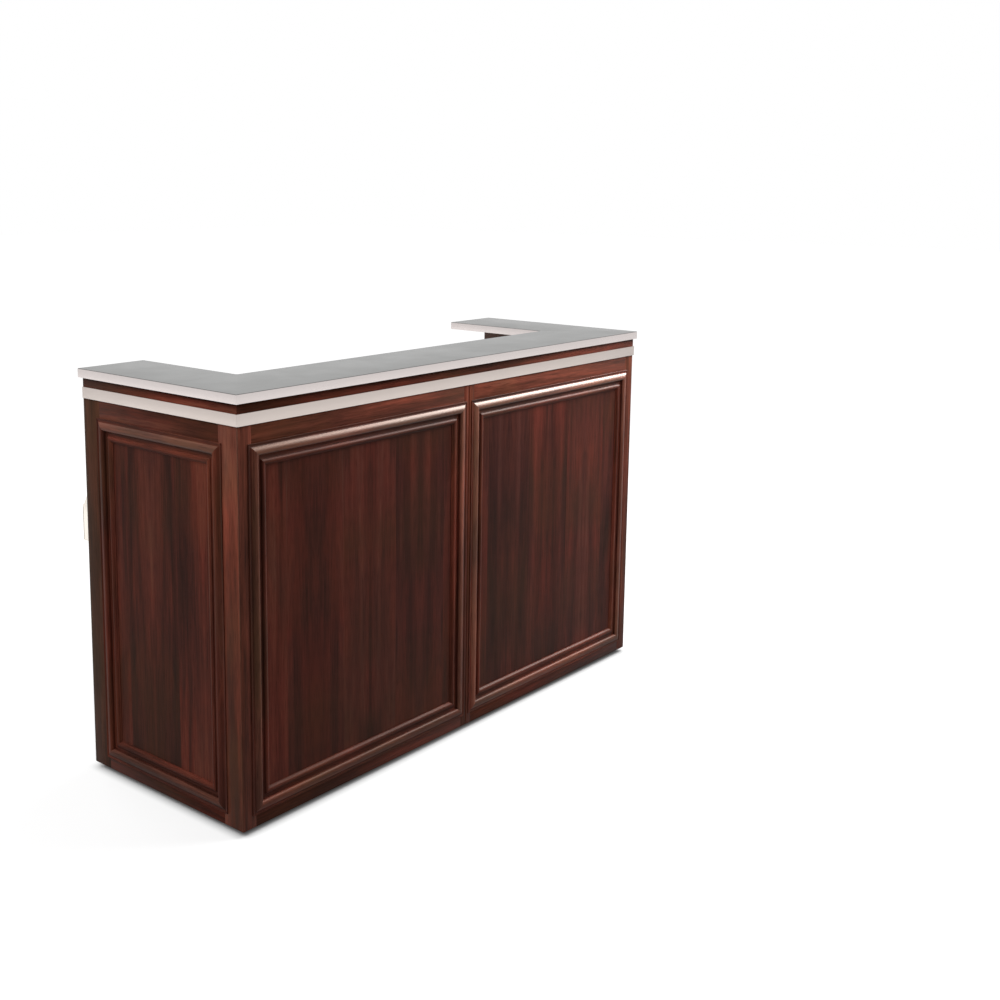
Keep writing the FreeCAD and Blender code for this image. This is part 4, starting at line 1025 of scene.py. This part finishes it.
def rounded_ring(half_w, y0, y1, radius, z):
    """A rounded rectangle about x = 0 at one height."""
    x, low_y, high_y = half_w - radius, y0 + radius, y1 - radius
    points = []
    for start_deg, centre in ((0, (x, high_y)), (90, (-x, high_y)), (180, (-x, low_y)), (270, (x, low_y))):
        points += arc(centre, radius, start_deg, start_deg + 90, 6)
    return [Vector((*point, z)) for point in points]


def build_ice_bin():
    """A tub with a flange, a rolled rim, a rounded foot and a floor that falls to the drain."""
    low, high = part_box("ice_bin")
    half_w = high.x - BIN_FLANGE_W
    y0, y1 = low.y + BIN_FLANGE_W, high.y - BIN_FLANGE_W
    floor_z, rim_z = low.z + BIN_WALL, high.z
    under_z = rim_z - BIN_WALL
    foot_z = floor_z + BIN_FLOOR_FALL + BIN_FOOT_R
    profile = [
        (BIN_WALL, under_z - 2 * BIN_WALL),
        (BIN_WALL, under_z),
        (BIN_FLANGE_W - BIN_EASE, under_z),
        (BIN_FLANGE_W, under_z + BIN_EASE),
        (BIN_FLANGE_W, rim_z - BIN_EASE),
        (BIN_FLANGE_W - BIN_EASE, rim_z),
    ]
    profile += arc((BIN_RIM_R, rim_z - BIN_RIM_R), BIN_RIM_R, 90, 180, 3)
    profile += arc((-BIN_FOOT_R, foot_z), BIN_FOOT_R, 0, -90, 6)
    rings = []
    for grow, z in profile:
        rings.append(rounded_ring(half_w + grow, y0 - grow, y1 + grow, BIN_CORNER_R + grow, z))
    middle = Vector((0, (y0 + y1) / 2))
    ways = [(point.to_2d() - middle).normalized() for point in rings[-1]]
    for radius, z in ((DRAIN_SEAT_R, floor_z), (DRAIN_LIP_R, floor_z - DRAIN_LIP_DROP)):
        rings.append([(*(middle + way * radius), z) for way in ways])
    shape = Shape()
    shape.loft(rings, closed_ends=False)
    shape.close()
    tub = shape.piece("ice_bin_tub", ["work_steel_x"], "work_steel", replaces=["ice_bin"])
    wall = tub.modifiers.new("wall", "SOLIDIFY")
    wall.thickness = BIN_SKIN
    wall.offset = -1


# Doors


def build_door(side):
    node = "door_" + side
    low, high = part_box(node)
    band = DOOR_BAND
    shape = Shape(DOOR_BOARDS[side])
    shape.block((low.x + band, low.y, low.z + band), (high.x - band, high.y, high.z - band))
    for x0, x1 in ((low.x, low.x + band), (high.x - band, high.x)):
        shape.block((x0, low.y, low.z), (x1, high.y, high.z), ease=DOOR_BAND_EASE, material=1)
    for z0, z1 in ((low.z, low.z + band), (high.z - band, high.z)):
        shape.block((low.x + band, low.y, z0), (high.x - band, high.y, z1), ease=DOOR_BAND_EASE, material=1)
    shape.piece(node + "_board", ["taupe_z", "taupe_edge"], "taupe_board", body=node, replaces=[node])


def build_rear_rail():
    low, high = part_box("rear_rail")
    shape = Shape()
    shape.block(low, (high.x, high.y, high.z - DOOR_BAND))
    shape.block((low.x, low.y, high.z - DOOR_BAND), high, ease=DOOR_BAND_EASE, material=1)
    shape.piece("rear_rail_board", ["taupe_x", "taupe_edge"], "taupe_board", replaces=["rear_rail"])


def knob_sections(half_w, half_h, thick):
    """Half width, half height and distance from the door of each ring of a knob."""
    sections = [
        (KNOB_ROSE_R, KNOB_ROSE_R, 0),
        (KNOB_ROSE_R, KNOB_ROSE_R, KNOB_ROSE_THICK * 0.6),
        (KNOB_ROSE_R * 0.93, KNOB_ROSE_R * 0.93, KNOB_ROSE_THICK),
    ]
    for share in (0.0, 0.25, 0.5, 0.75, 1.0):
        radius = KNOB_WAIST_R + (KNOB_STEM_R - KNOB_WAIST_R) * abs(2 * share - 1) ** 1.6
        sections.append((radius, radius, KNOB_ROSE_THICK + (KNOB_STEM_LEN - KNOB_ROSE_THICK) * share))
    under = thick * KNOB_UNDER_SHARE
    for out, lift in arc((0, 1), 1, -90, 0, 6):
        share = KNOB_FOOT_SHARE + (1 - KNOB_FOOT_SHARE) * out
        sections.append((half_w * share, half_h * share, KNOB_STEM_LEN + under * lift))
    for out, lift in arc((0, 0), 1, 10, 80, 7):
        share = out ** 0.85
        sections.append((half_w * share, half_h * share, KNOB_STEM_LEN + under + (thick - under) * lift))
    sections.append((half_w * 0.06, half_h * 0.06, KNOB_STEM_LEN + thick))
    return sections


def build_knob(side):
    """A domed oval knob on a waisted stem with a round rose."""
    node = "door_knob_" + side
    low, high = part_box(node)
    centre_x, centre_z = (low.x + high.x) / 2, (low.z + high.z) / 2
    thick = high.y - low.y - KNOB_STEM_LEN
    circle = arc((0, 0), 1, 0, 360, KNOB_STEPS)[:-1]
    rings = []
    for rx, rz, y in knob_sections(high.x - centre_x, high.z - centre_z, thick):
        rings.append([(centre_x + rx * cos, low.y + y, centre_z + rz * sin) for cos, sin in circle])
    shape = Shape()
    shape.loft(rings)
    shape.close()
    shape.piece(
        node + "_dome", ["satin_nickel"], "nickel", body="door_" + side, replaces=[node], smooth_deg=50)


# CAD nodes that keep their own shape


CASTERS = ("front_left", "front_right", "rear_left", "rear_right")
WELD_REACH = 0.01 * MM

# The material of these nodes and how far their edges are eased, in mm
DRESSED = [
    ("front_veneer", 0, ["front_panels"]),
    ("end_veneer", 0, ["end_panels"]),
    ("lining_board_x", 0.4, ["front_lining"]),
    ("lining_board", 0, ["end_linings"]),
    ("core_board", 0, ["counter_core", "worktop_core", "worktop_rail"]),
    ("bay_board_x", 0.5, ["deck"]),
    ("bay_board_z", 0.5, ["partition_left", "partition_right"]),
    ("bay_board_x", 0.6, ["bay_shelf_left", "bay_shelf_right"]),
    ("bay_board_y", 0, ["shelf_runners"]),
    ("worktop_steel", 0.5, ["worktop"]),
    ("work_steel_x", 0, ["backsplash"]),
    ("foam_board", 1, ["ice_bin_jacket"]),
    ("work_steel_z", 0.3, ["drain_spigot"]),
    ("hinge_steel", 0, ["hinge_leaves_left", "hinge_leaves_right", "hinge_fixed_leaves"]),
    ("hinge_steel", 0, ["hinge_pins", "rail_studs"]),
    ("hinge_steel", 0.3, ["lock_nut", "lock_cam"]),
    ("satin_nickel", 0.4, ["lock_body"]),
    ("satin_nickel", 0.2, ["lock_plug"]),
    ("zinc_plate", 0, ["caster_plates", "caster_screws"]),
    ("zinc_plate", 0.5, ["caster_fork_" + place for place in CASTERS]),
    ("zinc_plate", 0.4, ["caster_axle_" + place for place in CASTERS]),
    ("wheel_tyre", 0.6, ["caster_wheel_" + place for place in CASTERS]),
]


def dress(node, material, ease):
    """Gives a CAD node its material and, for an ease over 0, eased edges."""
    if not node.material_slots:
        node.data.materials.append(material)
    for slot in node.material_slots:
        slot.material = material
    if not ease:
        return
    weld = node.modifiers.new("weld", "WELD")
    weld.merge_threshold = WELD_REACH
    soft = node.modifiers.new("ease", "BEVEL")
    soft.width = ease
    soft.segments = 2
    soft.limit_method = "ANGLE"
    soft.angle_limit = math.radians(30)
    soft.use_clamp_overlap = True
    node.data.shade_smooth()
    if "custom_normal" in node.data.attributes:
        node.data.attributes.remove(node.data.attributes["custom_normal"])
    even = node.modifiers.new("even", "WEIGHTED_NORMAL")
    even.keep_sharp = False


def dress_nodes():
    for material, ease_mm, names in DRESSED:
        for name in names:
            dress(nodes[name], looks[material], ease_mm * MM)


# Floor, light and camera

CAMERA_PLACE = (-2.9676, -2.7250, 1.6669)
CAMERA_YAW, CAMERA_PITCH, CAMERA_ROLL = (math.radians(degrees) for degrees in (49.236, 9.121, 0.365))
CAMERA_LENS = 47.09
CAMERA_SHIFT = (0.0794, -0.1121)


def build_camera():
    data = bpy.data.cameras.new("camera")
    data.lens, data.sensor_width = CAMERA_LENS, 36
    data.shift_x, data.shift_y = CAMERA_SHIFT
    camera = bpy.data.objects.new("camera", data)
    tilt = Matrix.Rotation(math.pi / 2 - CAMERA_PITCH, 4, "X") @ Matrix.Rotation(CAMERA_ROLL, 4, "Z")
    camera.matrix_world = Matrix.Translation(CAMERA_PLACE) @ Matrix.Rotation(-CAMERA_YAW, 4, "Z") @ tilt
    collection.objects.link(camera)
    bpy.context.scene.camera = camera


WORLD_LEVEL = 0.155
FLOOR_HALF_W = 30
FLOOR_TONE = 0.28
FLOOR_GLOW_NEAR, FLOOR_GLOW_FAR = 0.68, 1.0
FLOOR_NEAR_R, FLOOR_FAR_R = 1.1, 3.4
# The floor's glow under and just round the bar: painted contact shadow
PAINTED_SHADOW_GLOW = 0.04
SHADOW_FADE_IN, SHADOW_FADE_OUT = 25 * MM, 28 * MM


def seen_directly(tree):
    """A socket that is 1 for camera, glossy and transmission rays."""
    path = tree.add("ShaderNodeLightPath").outputs
    either = tree.math("MAXIMUM", path["Is Camera Ray"], path["Is Glossy Ray"])
    return tree.math("MAXIMUM", either, path["Is Transmission Ray"])


def build_world():
    world = bpy.data.worlds.new("world")
    bpy.context.scene.world = world
    tree = Tree(world)
    level = tree.fit(seen_directly(tree), 0.0, 1.0, WORLD_LEVEL, 1.0)
    background = tree.add("ShaderNodeBackground", Color=(1, 1, 1), Strength=level)
    tree.end("ShaderNodeOutputWorld", background.outputs[0])


def within(tree, coordinate, middle, half):
    """A socket that fades from 1 to 0 where a coordinate leaves the footprint, for the painted shadow under
    the bar.
    """
    away = tree.math("ABSOLUTE", tree.math("SUBTRACT", coordinate, middle))
    return tree.fit(away, half - SHADOW_FADE_IN, half + SHADOW_FADE_OUT, 1.0, 0.0, "SMOOTHSTEP")


def painted_contact_shadow(tree, coords):
    """A socket that falls to almost nothing under the bar and fades just beyond its edges: a painted contact
    shadow in the floor's glow.
    """
    x, y, _ = tree.split(coords)
    across = within(tree, x, 0.0, SHELL_W / 2)
    deep = within(tree, y, front_low.y + SHELL_D / 2, SHELL_D / 2)
    return tree.fit(tree.math("MULTIPLY", across, deep), 0.0, 1.0, 1.0, PAINTED_SHADOW_GLOW)


def floor_material():
    """A matt floor with a glow that only the camera and reflections see; under the bar the glow is painted
    out as a contact shadow.
    """
    material = bpy.data.materials.new("floor")
    tree = Tree(material)
    coords = tree.coords()
    away = tree.add("ShaderNodeVectorMath", {"operation": "LENGTH"}, Vector=coords).outputs["Value"]
    ring = tree.fit(away, FLOOR_NEAR_R, FLOOR_FAR_R, FLOOR_GLOW_NEAR, FLOOR_GLOW_FAR, "SMOOTHSTEP")
    level = tree.math("MULTIPLY", seen_directly(tree), ring)
    level = tree.math("MULTIPLY", level, painted_contact_shadow(tree, coords))
    matt = tree.add("ShaderNodeBsdfDiffuse", Color=(FLOOR_TONE,) * 3)
    glow = tree.add("ShaderNodeEmission", Strength=level)
    both = tree.two("ShaderNodeAddShader", {}, matt.outputs[0], glow.outputs[0])
    tree.end("ShaderNodeOutputMaterial", both)
    return material


def build_floor():
    bm = bmesh.new()
    bmesh.ops.create_grid(bm, x_segments=1, y_segments=1, size=FLOOR_HALF_W)
    mesh = bpy.data.meshes.new("floor")
    bm.to_mesh(mesh)
    bm.free()
    mesh.materials.append(floor_material())
    floor = bpy.data.objects.new("floor", mesh)
    collection.objects.link(floor)


# Each lamp's place, the point it looks at, its width and height, its power and what it reaches
LAMPS = {
    "key": ((0.9, -1.0, 2.2), (0.2, -0.3, 0.7), (1.5, 1.1), 88, "diffuse"),
    "left_fill": ((-2.6, -0.1, 2.9), (-0.9, 0.0, 0.6), (2.0, 2.0), 88, "diffuse"),
    "right_fill": ((2.6, 0.3, 2.9), (0.9, 0.0, 0.6), (2.0, 2.0), 55, "diffuse"),
    "rear_fill": ((-0.8, 3.4, 2.8), (0.0, 0.3, 0.7), (3.4, 3.0), 114, "diffuse"),
    "sheen": ((4.1, -1.95, 2.95), (0.4, -0.3, 0.95), (3.4, 1.8), 1080, "glossy"),
}


def build_lamps():
    """The glossy lamp is seen in the mouldings alone, so these must be there already."""
    lacquered = bpy.data.collections.new("lacquered_woodwork")
    for name in ("front_beading", "end_beading"):
        lacquered.objects.link(collection.objects[name])
    for name, (place, aim, size, power, only) in LAMPS.items():
        data = bpy.data.lights.new(name, "AREA")
        data.shape = "RECTANGLE"
        data.energy = power
        data.size, data.size_y = size
        lamp = bpy.data.objects.new(name, data)
        lamp.location = place
        lamp.rotation_mode = "QUATERNION"
        lamp.rotation_quaternion = (Vector(aim) - Vector(place)).to_track_quat("-Z", "Y")
        lamp.visible_diffuse = only != "glossy"
        lamp.visible_glossy = only != "diffuse"
        collection.objects.link(lamp)
        if only == "glossy":
            lamp.light_linking.receiver_collection = lacquered


def build():
    build_camera()
    build_world()
    build_floor()
    build_looks()
    build_front()
    build_ends()
    build_slab()
    build_courses()
    build_lamps()
    for side in ("left", "right"):
        speed_rail(side)
        build_door(side)
        build_knob(side)
    build_ice_bin()
    build_rear_rail()
    dress_nodes()
    bpy.context.scene.view_settings.view_transform = "Standard"


build()
